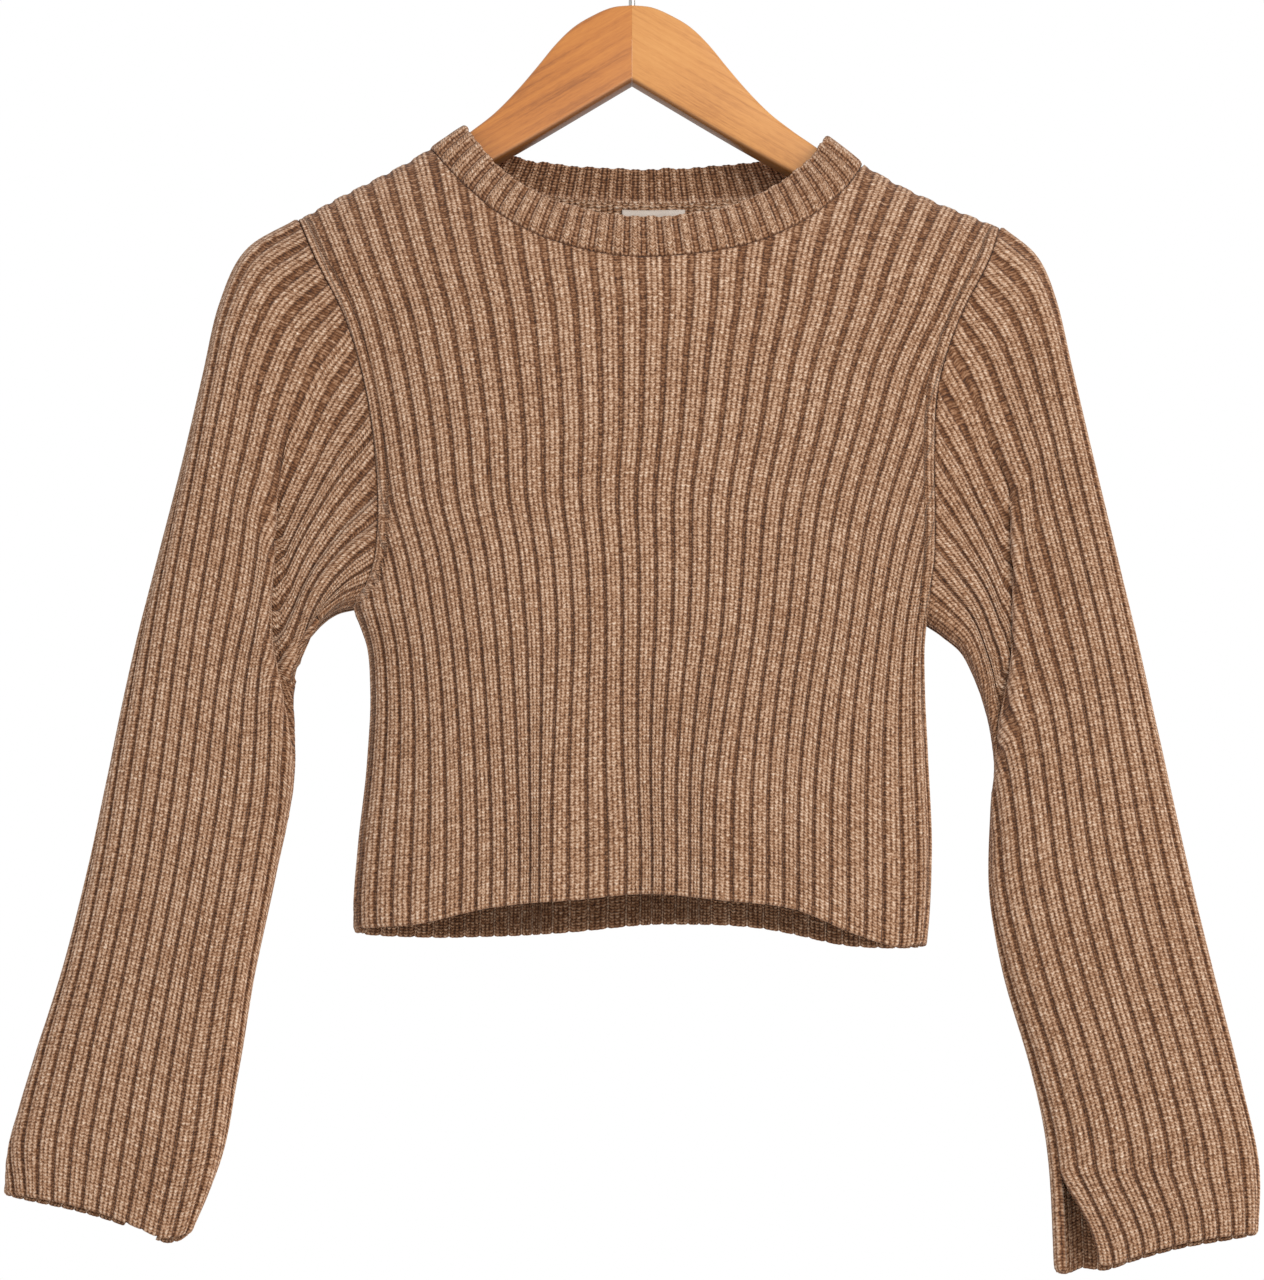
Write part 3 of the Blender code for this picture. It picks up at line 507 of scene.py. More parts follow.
def makeCloth(name, columns, facing, material, stops=None, closed=False):
    # columns: each a dictionary of its points' places, row keys, offsets and stitch numbers
    stops = stops or {}
    first = np.concatenate([[0], np.cumsum([len(c["key"]) for c in columns])]).tolist()
    pairs = [(c, c + 1) for c in range(len(columns) - 1)]
    if closed:
        pairs.append((len(columns) - 1, 0))
    faces = []
    for a, b in pairs:
        stop = stops.get(a, math.inf)
        joinColumns(faces, columns[a]["key"], columns[b]["key"], first[a], first[b], stop)
    parts = ("point", "relief", "innerTone", "wale", "course", "outer", "inner")
    point, relief, innerTone, wale, course, outer, inner = (
        np.concatenate([c[part] for c in columns]) for part in parts
    )
    normals = vertexNormals(point, faces)
    if (normals * facing(point)).sum() < 0:
        faces = [f[::-1] for f in faces]
        normals = -normals
    onMiddle = np.abs(point[:, 1]) < clothLook["middleReach"]
    normals[onMiddle, 1] = 0.0
    normals /= np.maximum(np.linalg.norm(normals, axis=1, keepdims=True), 1e-9)
    count = len(point)
    skins = np.concatenate([point + normals * outer[:, None], point - normals * inner[:, None]])
    shell = faces + [tuple(v + count for v in f[::-1]) for f in faces]
    shell += [(b, a, a + count, b + count) for a, b in rimEdges(faces)]
    mesh = bpy.data.meshes.new(name)
    mesh.from_pydata((skins * mm).tolist(), [], shell)
    mesh.shade_smooth()
    attribute = mesh.attributes.new("relief", "FLOAT", "POINT")
    attribute.data.foreach_set("value", np.concatenate([relief, innerTone]).astype(np.float32))
    corners = np.zeros(len(mesh.loops), np.int32)
    mesh.loops.foreach_get("vertex_index", corners)
    stitches = np.stack([wale, course], axis=1)[corners % count]
    if closed:
        # where a ring closes, its first stitches are numbered on from its last
        quads = stitches.reshape(-1, 4, 2)
        wide = np.ptp(quads[:, :, 0], axis=1) > clothLook["ringGap"]
        low = quads[:, :, 0] < np.ptp(wale) / 2
        onward = np.ptp(wale) + clothLook["ringStep"]
        quads[:, :, 0] += np.where(wide[:, None] & low, onward, 0.0)
    layer = mesh.uv_layers.new(name="stitches")
    layer.data.foreach_set("uv", stitches.astype(np.float32).ravel())
    mesh.materials.append(material)
    print(name, "made of", sum(len(f) - 2 for f in shell), "triangles")
    return addObject(name, mesh)


def facingForward(point):
    return np.array([0.0, -1.0, 0.0])


def facingBack(point):
    return np.array([0.0, 1.0, 0.0])


def settle(piece, node):
    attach(piece, "root")
    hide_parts(node)


# Front and back
bodyLook = {
    "firstRib": -18.5,
    "lastRib": 19.2,
    "outRib": 19,        # number of the last rib on either side, which the seam cuts
    "firstRow": 136.0,
    "rowStep": 4.3,
    "startRows": (0.0, 0.03, 0.08, 0.15, 0.26, 0.42, 0.62, 0.81),  # finer rows under an edge
    "startReach": 17.0,
    "hemBase": 430.0,    # rows follow the hem from here down
    "hemPlace": 620.0,
    "hemRows": 45,
    "lastRows": (3.4, 1.7, 0.6, 0.0),
    "cordWidth": 6.4,    # the plain cord beside the armhole and side seams
    "cordWale": 2.6,
    "scallop": 0.6,      # how far ribs stand below grooves at the hem
    "seamCord": 1.6,     # thickness of the linked seam on the inside
    "crowd": 0.008,      # ribs crowd together where the sides turn away
    "crowdReach": 0.03,
    "crowdDrops": (380.0, 450.0),  # from the one to the other this grows
    "fluteDrops": (430.0, 600.0),
    "edgeReach": 22.0,   # how far in from a side the ribs follow its curve
    "squeeze": 1.5,      # ribs beside the armhole are squeezed within about this distance
    "squeezeReach": 6.0,
    "squeezeFade": 30.0,  # over this last stretch down to the underarm it stops
    "seamReach": 16.0,   # within this of a side seam the distance to it is measured
    "flat": (0.36, 0.48),  # metres, the size it was cut to
}
# Where the first and last rib would lie at each height, how much the middle leans, and how
# much wider the ribs stand there
ribGuide = rowsOf(
    "drop left right lean wide",
    (150, -258.0, 326.0, -19.0, 0.095),
    (227, -220.0, 274.0, -15.9, 0.095),
    (246, -210.5, 261.0, -13.5, 0.10),
    (283, -198.0, 234.5, -7.5, 0.10),
    (326, -188.0, 217.0, -5.2, 0.08),
    (369, -179.0, 201.0, -5.0, 0.065),
    (405, -166.5, 189.0, -4.0, 0.058),
    (446, -156.0, 178.5, -4.0, 0.053),
    (488, -151.5, 171.0, -4.0, 0.045),
    (534, -152.5, 168.5, -3.0, 0.02),
    (600, -156.5, 168.5, 0.0, 0.0),
    (640, -157.0, 168.0, 0.0, 0.0),
)
# Towards the hem the cloth hangs in flutes, which spread some ribs and crowd others
hemFlutes = rowsOf(
    "rib shift",
    (-18.5, 0.0),
    (-16, 2.6),
    (-14, 5.2),
    (-10, 5.4),
    (-8, 3.5),
    (-5, -4.8),
    (-3, -1.8),
    (-1, 2.6),
    (0, 2.0),
    (2, -2.8),
    (4, -5.3),
    (6, -9.2),
    (8, -6.4),
    (10, -5.4),
    (12, -6.0),
    (14, -4.1),
    (16, -1.3),
    (18, 1.4),
    (19.2, 0.0),
)
cordProfile = rowsOf(
    "far height",
    (0.0, 0.45),
    (1.3, 1.0),
    (2.75, 0.84),
    (4.2, 1.0),
    (5.6, 0.45),
    (6.4, 0.0),
)
# Soft creases in the hanging cloth, listed one by one: a line, its width and its depth
bodyCreases = rowsOf(
    "face x0 drop0 x1 drop1 width depth",
    (-1, -112, 520, -118, 640, 26, 2.0),
    (-1, -26, 470, -30, 640, 20, -3.2),
    (-1, 66, 470, 62, 640, 18, 3.4),
    (-1, 124, 540, 130, 640, 16, -1.8),
    (-1, -95, 250, -70, 420, 24, 1.0),
    (-1, 120, 260, 90, 400, 22, -1.0),
    (-1, 10, 240, 20, 380, 30, -0.9),
    (1, -104, 540, -110, 640, 14, 1.7),
    (1, -40, 500, -46, 640, 18, -1.4),
    (1, 30, 520, 34, 640, 16, 1.5),
    (1, 96, 540, 104, 640, 13, -1.5),
    (1, -80, 260, -60, 430, 26, 1.1),
    (1, 70, 240, 84, 400, 24, -1.1),
)


def creaseDepth(x, drop, face):
    total = np.zeros_like(x)
    for k in np.nonzero(bodyCreases["face"] == face)[0]:
        c = {name: column[k] for name, column in bodyCreases.items()}
        direction = np.array([c["x1"] - c["x0"], c["drop1"] - c["drop0"]])
        span = np.linalg.norm(direction)
        direction /= span
        along = (x - c["x0"]) * direction[0] + (drop - c["drop0"]) * direction[1]
        away = (x - c["x0"]) * direction[1] - (drop - c["drop0"]) * direction[0]
        fade = smoothStep(0.0, 0.45 * span, along) * (1.0 - smoothStep(0.9 * span, 1.3 * span, along))
        total = total + c["depth"] * fade * np.exp(-((away / c["width"]) ** 2))
    return total


def bandEdge(face, name):
    # many points along one edge of the neckband, as x and drop
    rows = neckFront if face < 0 else neckBack
    place = np.linspace(0, len(rows["seamX"]) - 1, 400)
    index = np.arange(len(rows["seamX"]), dtype=float)
    x = smoothAt(index, rows[name + "X"], place)
    ridge = smoothAt(shoulderLine["x"], shoulderLine["drop"], x)
    drop = np.maximum(smoothAt(index, rows[name + "Drop"], place), ridge)
    drop[0], drop[-1] = ridge[0], ridge[-1]
    return x, drop


neckSeams = {face: bandEdge(face, "seam") for face in (-1, 1)}


def neckInset(x):
    corners = neckFront["seamX"][0], neckFront["seamX"][-1]
    away = np.minimum(np.abs(x - corners[0]), np.abs(x - corners[1]))
    return 0.08 + 0.35 * np.exp(-away / 9.0)


def bodyEdge(side, drop):
    # x of a panel's side edge, a little inside the seam
    column = "left" if side < 0 else "right"
    return smoothAt(bodyEdges["drop"], bodyEdges[column], drop) - side * seamInset


def bodyRib(k, wale, v):
    # x of a rib's wale at row v, and how far it is inside the two side edges: near an
    # edge the ribs are squeezed together instead of crossing it
    left = smoothAt(ribGuide["drop"], ribGuide["left"], v)
    right = smoothAt(ribGuide["drop"], ribGuide["right"], v)
    lean = smoothAt(ribGuide["drop"], ribGuide["lean"], v)
    look = bodyLook
    first, last = look["firstRib"], look["lastRib"]
    wide = smoothAt(ribGuide["drop"], ribGuide["wide"], v)
    groove = grooveShare((right - left) / (last - first))
    s = (k + ribPlace(wale, groove) - first) / (look["outRib"] + ribPlace(1.0, groove) - first)
    s = np.clip(np.where((k <= -look["outRib"]) & (wale <= 2.0), 0.0, s), 0.0, 1.0)
    c, reach = look["crowd"], look["crowdReach"]
    crowded = (s + c * (np.exp(-s / reach) - np.exp(-(1 - s) / reach)) - c) / (1 - 2 * c)
    s = mix(s, crowded, smoothStep(*look["crowdDrops"], v))
    s = s - wide / (2 * math.pi) * np.sin(2 * math.pi * s)
    x = left + (right - left) * s + 4 * s * (1 - s) * lean
    flute = smoothAt(hemFlutes["rib"], hemFlutes["shift"], first + (last - first) * s)
    x = x + flute * smoothStep(*look["fluteDrops"], v)
    held = np.full(np.shape(x), farAway)
    for side, underarm, column in ((-1, underarmLeft, "left"), (1, underarmRight, "right")):
        below = np.maximum(v, underarm)
        guideBelow = smoothAt(ribGuide["drop"], ribGuide[column], below)
        fromEnd = (s if side < 0 else 1 - s) * (right - left)
        x = x + (bodyEdge(side, below) - guideBelow) * np.exp(-fromEnd / look["edgeReach"])
        above = 1 - smoothStep(underarm - look["squeezeFade"], underarm, v)
        inside = side * (bodyEdge(side, v) - x)
        soft = look["squeeze"] * above + 0.01
        kept = soft * np.logaddexp(0.0, inside / soft)
        x = bodyEdge(side, v) - side * kept
        held = np.minimum(held, inside + look["squeezeReach"] * above)
    return x, held


def bodyDrop(x, v, face):
    # rows are level above, and follow the hem below
    hem = hemFront if face < 0 else hemBack
    bottom = smoothAt(hem["x"], hem["drop"], np.clip(x, hem["x"][0], hem["x"][-1]))
    base = bodyLook["hemBase"]
    return np.where(v < base, v, base + (v - base) * (bottom - base) / (bodyLook["hemPlace"] - base))


def insideTop(x, drop, face):
    # distance below the shoulder seam, square to its slope, or below the neck seam
    seamX, seamDrop = neckSeams[face]
    inNeck = (x > seamX[0] + 0.3) & (x < seamX[-1] - 0.3)
    shoulder = (drop - smoothAt(shoulderLine["x"], shoulderLine["drop"], x)) * 0.88
    neck = drop - np.interp(x, seamX, seamDrop) - neckInset(x)
    return np.where(inNeck, neck, shoulder)


def insideSides(x, drop):
    return np.minimum(x - bodyEdge(-1, drop), bodyEdge(1, drop) - x)


def edgeFar(x, drop, face, side):
    # distance over the cloth from the armhole or side seam
    edge = bodyEdge(side, drop)
    far = np.zeros_like(x)
    lastX, lastY = edge, bodyDepth(edge, drop, face)
    for share in np.linspace(0.0, 1.0, 11)[1:]:
        nextX = edge + (x - edge) * share**2
        nextY = bodyDepth(nextX, drop, face)
        far = far + np.hypot(nextX - lastX, nextY - lastY)
        lastX, lastY = nextX, nextY
    lean = (bodyEdge(side, drop + 1.0) - bodyEdge(side, drop - 1.0)) / 2.0
    near = np.abs(x - edge) < bodyLook["seamReach"]
    return np.where(near, far / np.sqrt(1 + lean**2), farAway)


def makeBody(name, face, material):
    look = bodyLook
    out = look["outRib"]
    ribs = [(k, w) for k in range(-out, out + 1) for w in ribProfile["wale"][:-1]]
    ribs = np.array([(k, w) for k, w in ribs if (k > -out or w >= 2.0) and (k < out or w <= 1.0)])
    k, wale = ribs[:, 0], ribs[:, 1]
    rows = np.concatenate([
        np.arange(look["firstRow"], look["hemBase"], look["rowStep"]),
        np.linspace(look["hemBase"], look["hemPlace"] - look["lastRows"][0], look["hemRows"]),
        look["hemPlace"] - np.array(look["lastRows"][1:]),
    ])

    def inside(v):
        x, sides = bodyRib(k, wale, v)
        return np.minimum(insideTop(x, bodyDrop(x, v, face), face), sides)

    # the highest row from which a column stays inside all the way down, and between it and
    # the row above, the exact place where the column meets the edge
    held = np.array([inside(v) for v in rows])
    held[rows > underarmRight + 1.0] = 1.0
    startRow = len(rows) - np.argmax((held < -1e-4)[::-1], axis=0)
    low, high = rows[startRow - 1], rows[startRow]
    for _ in range(30):
        middle = (low + high) / 2
        outside = inside(middle) < -1e-4
        low, high = np.where(outside, middle, low), np.where(outside, high, middle)
    columns = []
    fractions = np.array(look["startRows"])
    for c in range(len(k)):
        meet = int(np.searchsorted(rows, high[c] + look["startReach"]))
        v = np.concatenate([high[c] + (rows[meet] - high[c]) * fractions, rows[meet:]])
        keys = np.arange(meet - len(fractions), len(rows))
        x = bodyRib(k[c], wale[c], v)[0]
        drop = bodyDrop(x, v, face)
        relief = np.full(len(v), float(reliefAt(wale[c])))
        stitch = np.full(len(v), 4 * k[c] + wale[c])
        for side in (-1, 1):
            # a plain cord of two wales runs along each side seam
            far = edgeFar(x, drop, face, side)
            cord = np.interp(far, cordProfile["far"], cordProfile["height"])
            relief = mix(cord, relief, smoothStep(look["cordWidth"], look["cordWidth"] + 1.3, far))
            number = 4 * np.round(stitch / 4) + 1 + (far - 1.4) / look["cordWale"]
            stitch = np.where(far < look["cordWidth"], number, stitch)
        # towards its seams and its free edge the cloth gets flatter and thinner
        below = insideTop(x, drop, face)
        edge = np.minimum(below, insideSides(x, drop))
        toHem = look["hemPlace"] - v
        drop = drop + look["scallop"] * (relief - 0.5) * (1 - smoothStep(0.0, 8.0, toHem))
        y = bodyDepth(x, drop, face) + face * creaseDepth(x, drop, face) * smoothStep(0, 25, edge)
        point = np.stack([x, y, -drop], axis=1)
        length = arcLength(point)
        outer, inner = clothOffsets(relief, smoothStep(3.0, 22.0, below))
        outer = outer * mix(0.45, 1.0, smoothStep(0.0, 22.0, below))
        free = mix(0.4, 1.0, smoothStep(-0.3, 2.6, toHem))
        nearSeam = 1 - smoothStep(2.2, 3.8, below)
        columns.append({
            "point": point,
            "key": keys.tolist(),
            # the relief also sets the painted groove shade: lowered near the seams, it paints a shadow
            # line along them; the inner skin's tone is the same painted shade, painted light on the seam
            # cord
            "relief": relief * mix(0.4, 1.0, smoothStep(-0.2, 1.2, edge)),
            "innerTone": mix(1.05 - 0.65 * relief, 1.0, nearSeam),
            "wale": stitch,
            "course": (length[-1] - length) / clothLook["course"],
            "outer": outer * np.minimum(mix(0.62, 1.0, smoothStep(-0.2, 1.2, edge)), free),
            "inner": (inner + look["seamCord"] * nearSeam) * free,
        })
    facing = facingForward if face < 0 else facingBack
    piece = makeCloth(name + "_knit", columns, facing, material)
    settle(piece, name)
    return piece


# Sleeves
sleeveLook = {
    "startRows": (0.0002, 0.0012, 0.0027, 0.0048, 0.0078, 0.0115),
    "upperRows": (0.0155, 74),  # where the even rows start, and how many there are
    "lowerRows": (0.988, 78),
    "cuffRows": (0.9935, 0.997, 0.9988, 1.0),
    "spread": 0.1,       # ribs start to even out here
    "merge": 0.5,        # ribs that run out at the underarm seam have done so by here
    "edgePlace": 0.9988,  # share of the half round that the cloth's edge reaches
    "calmReach": 0.1,    # ribs flatten within this share of the underarm seam
    "nearby": 0.004,     # a short way along, to find which way the ribs run
    "edgeClear": 0.03,   # a column closer than this to the underarm seam is left out, in ribs
    "scallop": 0.6,
    "long": 590.0,
    "flat": (0.33, 0.60),  # metres
}
# Where the grooves between a sleeve's ribs meet the armhole seam, from shoulder to underarm
armholeRibs = rowsOf(
    "rib left right",
    (0, 0.0, 0.0),
    (1, 0.022, 0.055),
    (2, 0.065, 0.125),
    (3, 0.115, 0.185),
    (4, 0.163, 0.24),
    (5, 0.22, 0.287),
    (6, 0.272, 0.355),
    (7, 0.325, 0.45),
    (8, 0.40, 0.535),
    (9, 0.47, 0.605),
    (10, 0.537, 0.69),
    (11, 0.588, 0.752),
    (12, 0.645, 0.82),
    (13, 0.716, 0.875),
    (14, 0.777, 0.925),
    (15, 0.84, 0.97),
    (16, 0.89, 1.015),
    (17, 0.93, 1.06),
    (18, 0.972, 1.1),
    (19, 1.015, 1.14),
)
# How many ribs each face has further down
tubeRibs = rowsOf("side front back", (-1, 13.3, 13.0), (1, 12.0, 14.0))
# The deep fold inside each sleeve, where the upper sleeve hangs over the underarm web. At
# each place along the sleeve: where its lip lies across the plain tube, the rib on the lip,
# how far the cloth runs back under the lip and how deep, and the share of the web it hides
foldColumns = "along lip rib under deep hidden"
foldLeft = rowsOf(
    foldColumns,
    (0.00, 0.325, 7.0, 0.0, 0.0, 0.0),
    (0.08, 0.34, 7.0, 0.0, 0.0, 0.0),
    (0.12, 0.345, 7.0, 0.0, 0.5, 0.0),
    (0.16, 0.355, 7.0, 0.5, 3.0, 0.03),
    (0.20, 0.385, 7.1, 2.0, 6.0, 0.08),
    (0.24, 0.48, 8.3, 4.0, 9.0, 0.22),
    (0.28, 0.60, 8.9, 6.5, 11.5, 0.54),
    (0.32, 0.715, 9.8, 8.5, 12.5, 0.80),
    (0.36, 0.785, 10.5, 9.0, 12.5, 0.86),
    (0.40, 0.82, 11.0, 8.5, 11.5, 0.84),
    (0.44, 0.845, 11.3, 7.0, 9.5, 0.78),
    (0.48, 0.87, 11.7, 4.5, 7.0, 0.6),
    (0.54, 0.91, 12.1, 1.5, 3.0, 0.3),
    (0.60, 0.94, 12.5, 0.0, 0.0, 0.0),
)
foldRight = rowsOf(
    foldColumns,
    (0.00, 0.355, 6.0, 0.0, 0.0, 0.0),
    (0.06, 0.37, 6.0, 0.0, 0.0, 0.0),
    (0.12, 0.39, 6.0, 0.0, 0.5, 0.0),
    (0.18, 0.39, 6.0, 0.0, 3.0, 0.02),
    (0.20, 0.42, 6.3, 1.0, 5.0, 0.07),
    (0.22, 0.52, 6.9, 2.5, 7.0, 0.16),
    (0.24, 0.67, 7.7, 4.0, 9.0, 0.33),
    (0.28, 0.82, 8.7, 7.0, 11.0, 0.76),
    (0.32, 0.875, 9.1, 7.0, 11.0, 0.84),
    (0.36, 0.93, 9.8, 6.0, 9.5, 0.82),
    (0.42, 0.96, 10.6, 3.0, 6.0, 0.6),
    (0.48, 0.975, 11.3, 1.0, 3.0, 0.2),
    (0.54, 0.985, 11.8, 0.0, 0.0, 0.0),
)
# Round the lip and back: share of the hidden cloth, how far under the lip, and how deep
foldShape = rowsOf(
    "share under deep",
    (0.0, 0.0, 0.0),
    (0.08, -0.06, 0.12),
    (0.2, 0.0, 0.34),
    (0.36, 0.5, 0.48),
    (0.55, 1.0, 0.64),
    (0.72, 0.86, 0.88),
    (0.86, 0.45, 1.0),
    (1.0, 0.0, 1.0),
)
lipRise = 2.4         # how far the cloth beside the lip swells forward
lipReach = 6.0
lipFull = 8.0         # depth of fold from which the lip swells fully
sleeveAcross = 150.0  # about the width of one face up there
deepest = -2.5        # the folded cloth stays in front of this plane
shares = np.linspace(0.0, 1.0, 401)


def armholeLine(side, face):
    # many points down the armhole seam, and their distances along it
    column = "left" if side < 0 else "right"
    bottom = underarmLeft if side < 0 else underarmRight
    top = bodyEdges["drop"][0]
    for _ in range(20):
        # the seam starts where it leaves the shoulder's own line
        top = float(smoothAt(shoulderLine["x"], shoulderLine["drop"], bodyEdge(side, top)))
    t = np.linspace(0.0, 1.0, 600)
    drop = top + (bottom - top) * (1 - np.cos(math.pi * t)) / 2
    x = smoothAt(bodyEdges["drop"], bodyEdges[column], drop)
    points = np.stack([x, bodyDepth(x, drop, face), -drop], axis=1)
    points[0, 1] = 0.0
    return points, arcLength(points)


armholeLines = {(side, face): armholeLine(side, face) for side in (-1, 1) for face in (-1, 1)}


def armholeSeam(side, face, places):
    points, length = armholeLines[side, face]
    return np.stack([np.interp(places * length[-1], length, points[:, k]) for k in range(3)], axis=1)


def sleeveSection(rows, side, along, rounds, turned=1.0):
    # points of the plain tube at many places round it, 0..1 over the front, 1..2 over the back
    at = {name: float(smoothAt(rows["along"], rows[name], along)) for name in rows}
    outer = np.array([at["outerX"], 0.0, -at["outerDrop"]])
    inner = np.array([at["innerX"], 0.0, -at["innerDrop"]])
    width = np.linalg.norm(outer - inner)
    place = (rounds + turned * at["turn"] / width) % 2.0
    fine = (1 - np.cos(np.linspace(0.0, math.pi, 120))) / 2
    arc = np.sqrt(1 - np.abs(2 * fine - 1) ** sidePower)
    share, depth = np.zeros_like(place), np.zeros_like(place)
    for onFace, deep, sign in ((place <= 1.0, at["front"], -1), (place > 1.0, at["back"], 1)):
        length = arcLength(np.stack([fine * width, arc * deep], axis=1))
        wanted = np.where(place <= 1.0, place, 2.0 - place) * length[-1]
        share = np.where(onFace, np.interp(wanted, length, fine), share)
        depth = np.where(onFace, np.interp(wanted, length, arc * deep) * sign, depth)
    point = inner + (outer - inner) * share[:, None]
    point[:, 1] = depth
    dip = smoothAt(cuffEdge["across"], cuffEdge["left" if side < 0 else "right"], share)
    point[:, 2] -= dip * smoothStep(cuffDipStart, 1.0, along)
    return point


def openRound(side, along, rounds):
    # the slit's loose edge stands open
    width = slitWidth / cuffHalf * float(smoothStep(slitStart, 1.0, along)) ** 0.7
    if side > 0:
        return np.where(rounds < 1.0, rounds + width * (1.0 - rounds), rounds)
    return np.where(rounds > 1.0, rounds - width * (rounds - 1.0), rounds)


def edgeSpot(rows, edge, along):
    # the sleeve's outer or inner edge at one place along it
    x = float(smoothAt(rows["along"], rows[edge + "X"], along))
    drop = float(smoothAt(rows["along"], rows[edge + "Drop"], along))
    return np.array([x, 0.0, -drop])


def fanPoint(start, startSlope, end, endSlope, t):
    # a smooth path from start to end, which leaves and arrives along the two slopes
    near = (2 * t**3 - 3 * t**2 + 1) * start + (t**3 - 2 * t**2 + t) * startSlope
    return near + (3 * t**2 - 2 * t**3) * end + (t**3 - t**2) * endSlope


def fanEnds(rows, side, start, leave, rounds, turned=1.0):
    # slopes and end points of the paths from the armhole down to the plain tube
    end = sleeveSection(rows, side, fanEnd, rounds, turned)
    run = sleeveSection(rows, side, fanEnd + 0.05, rounds, turned) - end
    chord = np.linalg.norm(end - start, axis=1, keepdims=True)
    reach = 0.85 + 0.45 * np.sin(math.pi * smoothStep(0.3, 1.1, np.abs(rounds - 1.0)))[:, None]
    return leave * chord * reach, end, run / np.linalg.norm(run, axis=1, keepdims=True) * chord


def ribNumbers(side, face, along):
    # rib numbers at many places across one face: near the armhole there are more of them
    atSeam = np.interp(shares, armholeRibs["left" if side < 0 else "right"], armholeRibs["rib"])
    total = float(tubeRibs["front" if face < 0 else "back"][0 if side < 0 else 1])
    return mix(atSeam, total * shares, smoothStep(sleeveLook["spread"], sleeveLook["merge"], along))


def plainRow(side, face, places, along):
    # middle of the cloth at many places round one face, 0 at the outer edge, 1 at the underarm
    rows = sleeveLeft if side < 0 else sleeveRight
    rounds = 1.0 + face * places
    if along >= fanEnd:
        return sleeveSection(rows, side, along, openRound(side, along, rounds))
    # each path leaves the armhole along the body's own surface
    start = armholeSeam(side, face, places)
    start[places < 1e-6, 1] = 0.0
    x, drop = start[:, 0] - side, -start[:, 2]
    here = bodyDepth(x, drop, face)
    slopeX = (bodyDepth(x - side, drop, face) - here) / -side
    slopeDrop = (bodyDepth(x, drop + 0.5, face) - here) / 0.5
    follow = smoothStep(0.0, 0.06, places) * (1 - smoothStep(0.86, 0.97, places))
    steep = ribLeaving["left" if side < 0 else "right"]
    angle = np.radians(smoothAt(ribLeaving["place"], steep, places))
    outward, down = np.cos(angle), np.sin(angle)
    turn = (slopeX * side * outward + slopeDrop * down) * follow
    leave = np.stack([side * outward, turn, -down], axis=1)
    leave /= np.linalg.norm(leave, axis=1, keepdims=True)
    startSlope, end, endSlope = fanEnds(rows, side, start, leave, rounds)
    t = along / fanEnd
    point = fanPoint(start, startSlope, end, endSlope, t)
    # the two edges are drawn to their tables, and the cloth between them follows
    for edge, spot, weight in (("outer", 0, (1 - places) ** 2), ("inner", -1, places**2)):
        corner = armholeSeam(side, -1, np.array([0.0, 1.0]))[spot][None] * (1.0, 0.0, 1.0)
        angle = math.radians(steep[spot])
        away = np.array([[side * math.cos(angle), 0.0, -math.sin(angle)]])
        edgeSlope, edgeEnd, edgeRun = fanEnds(rows, side, corner, away, np.array([1.0 + spot]), 0.0)
        moved = edgeSpot(rows, edge, along) - fanPoint(corner, edgeSlope, edgeEnd, edgeRun, t)[0]
        atSeam = edgeSpot(rows, edge, 0.0) - corner[0]
        moved = moved - atSeam * (1 - smoothStep(0.0, 0.06, along))
        point = point + weight[:, None] * moved * (1.0, 0.0, 1.0)
    return point


def sleeveRow(side, face, places, along):
    # the same, with the fold: beyond its lip the cloth turns under, and comes out as the web
    fold = foldLeft if side < 0 else foldRight  # on the front only
    if face > 0 or along >= fold["along"][-1]:
        return plainRow(side, face, places, along)
    at = {name: float(np.interp(along, fold["along"], column)) for name, column in fold.items()}
    lipPlace = np.interp(at["rib"], ribNumbers(side, face, along), shares)
    beyond = np.clip((places - lipPlace) / (1 - lipPlace), 0.0, 1.0)
    web = np.clip((beyond - at["hidden"]) / (1 - at["hidden"]), 0.0, 1.0)
    moved = places + (at["lip"] - lipPlace) * (places / lipPlace) ** 3
    placed = np.where(beyond > 0, at["lip"] + (1 - at["lip"]) * web, moved)
    point = plainRow(side, face, placed, along)
    share = np.clip(beyond / max(at["hidden"], 1e-6), 0.0, 1.0)
    point[:, 0] += side * at["under"] * np.interp(share, foldShape["share"], foldShape["under"])
    back = at["deep"] * np.interp(share, foldShape["share"], foldShape["deep"]) * (1 - web) ** 1.5
    toLip = np.maximum(lipPlace - places, 0.0) * sleeveAcross / lipReach
    swell = lipRise * min(at["deep"] / lipFull, 1.0) * toLip * np.exp(1 - toLip)
    back = back - swell * (places < lipPlace)
    point[:, 1] = np.minimum(point[:, 1] + back, np.maximum(point[:, 1], deepest))
    return point


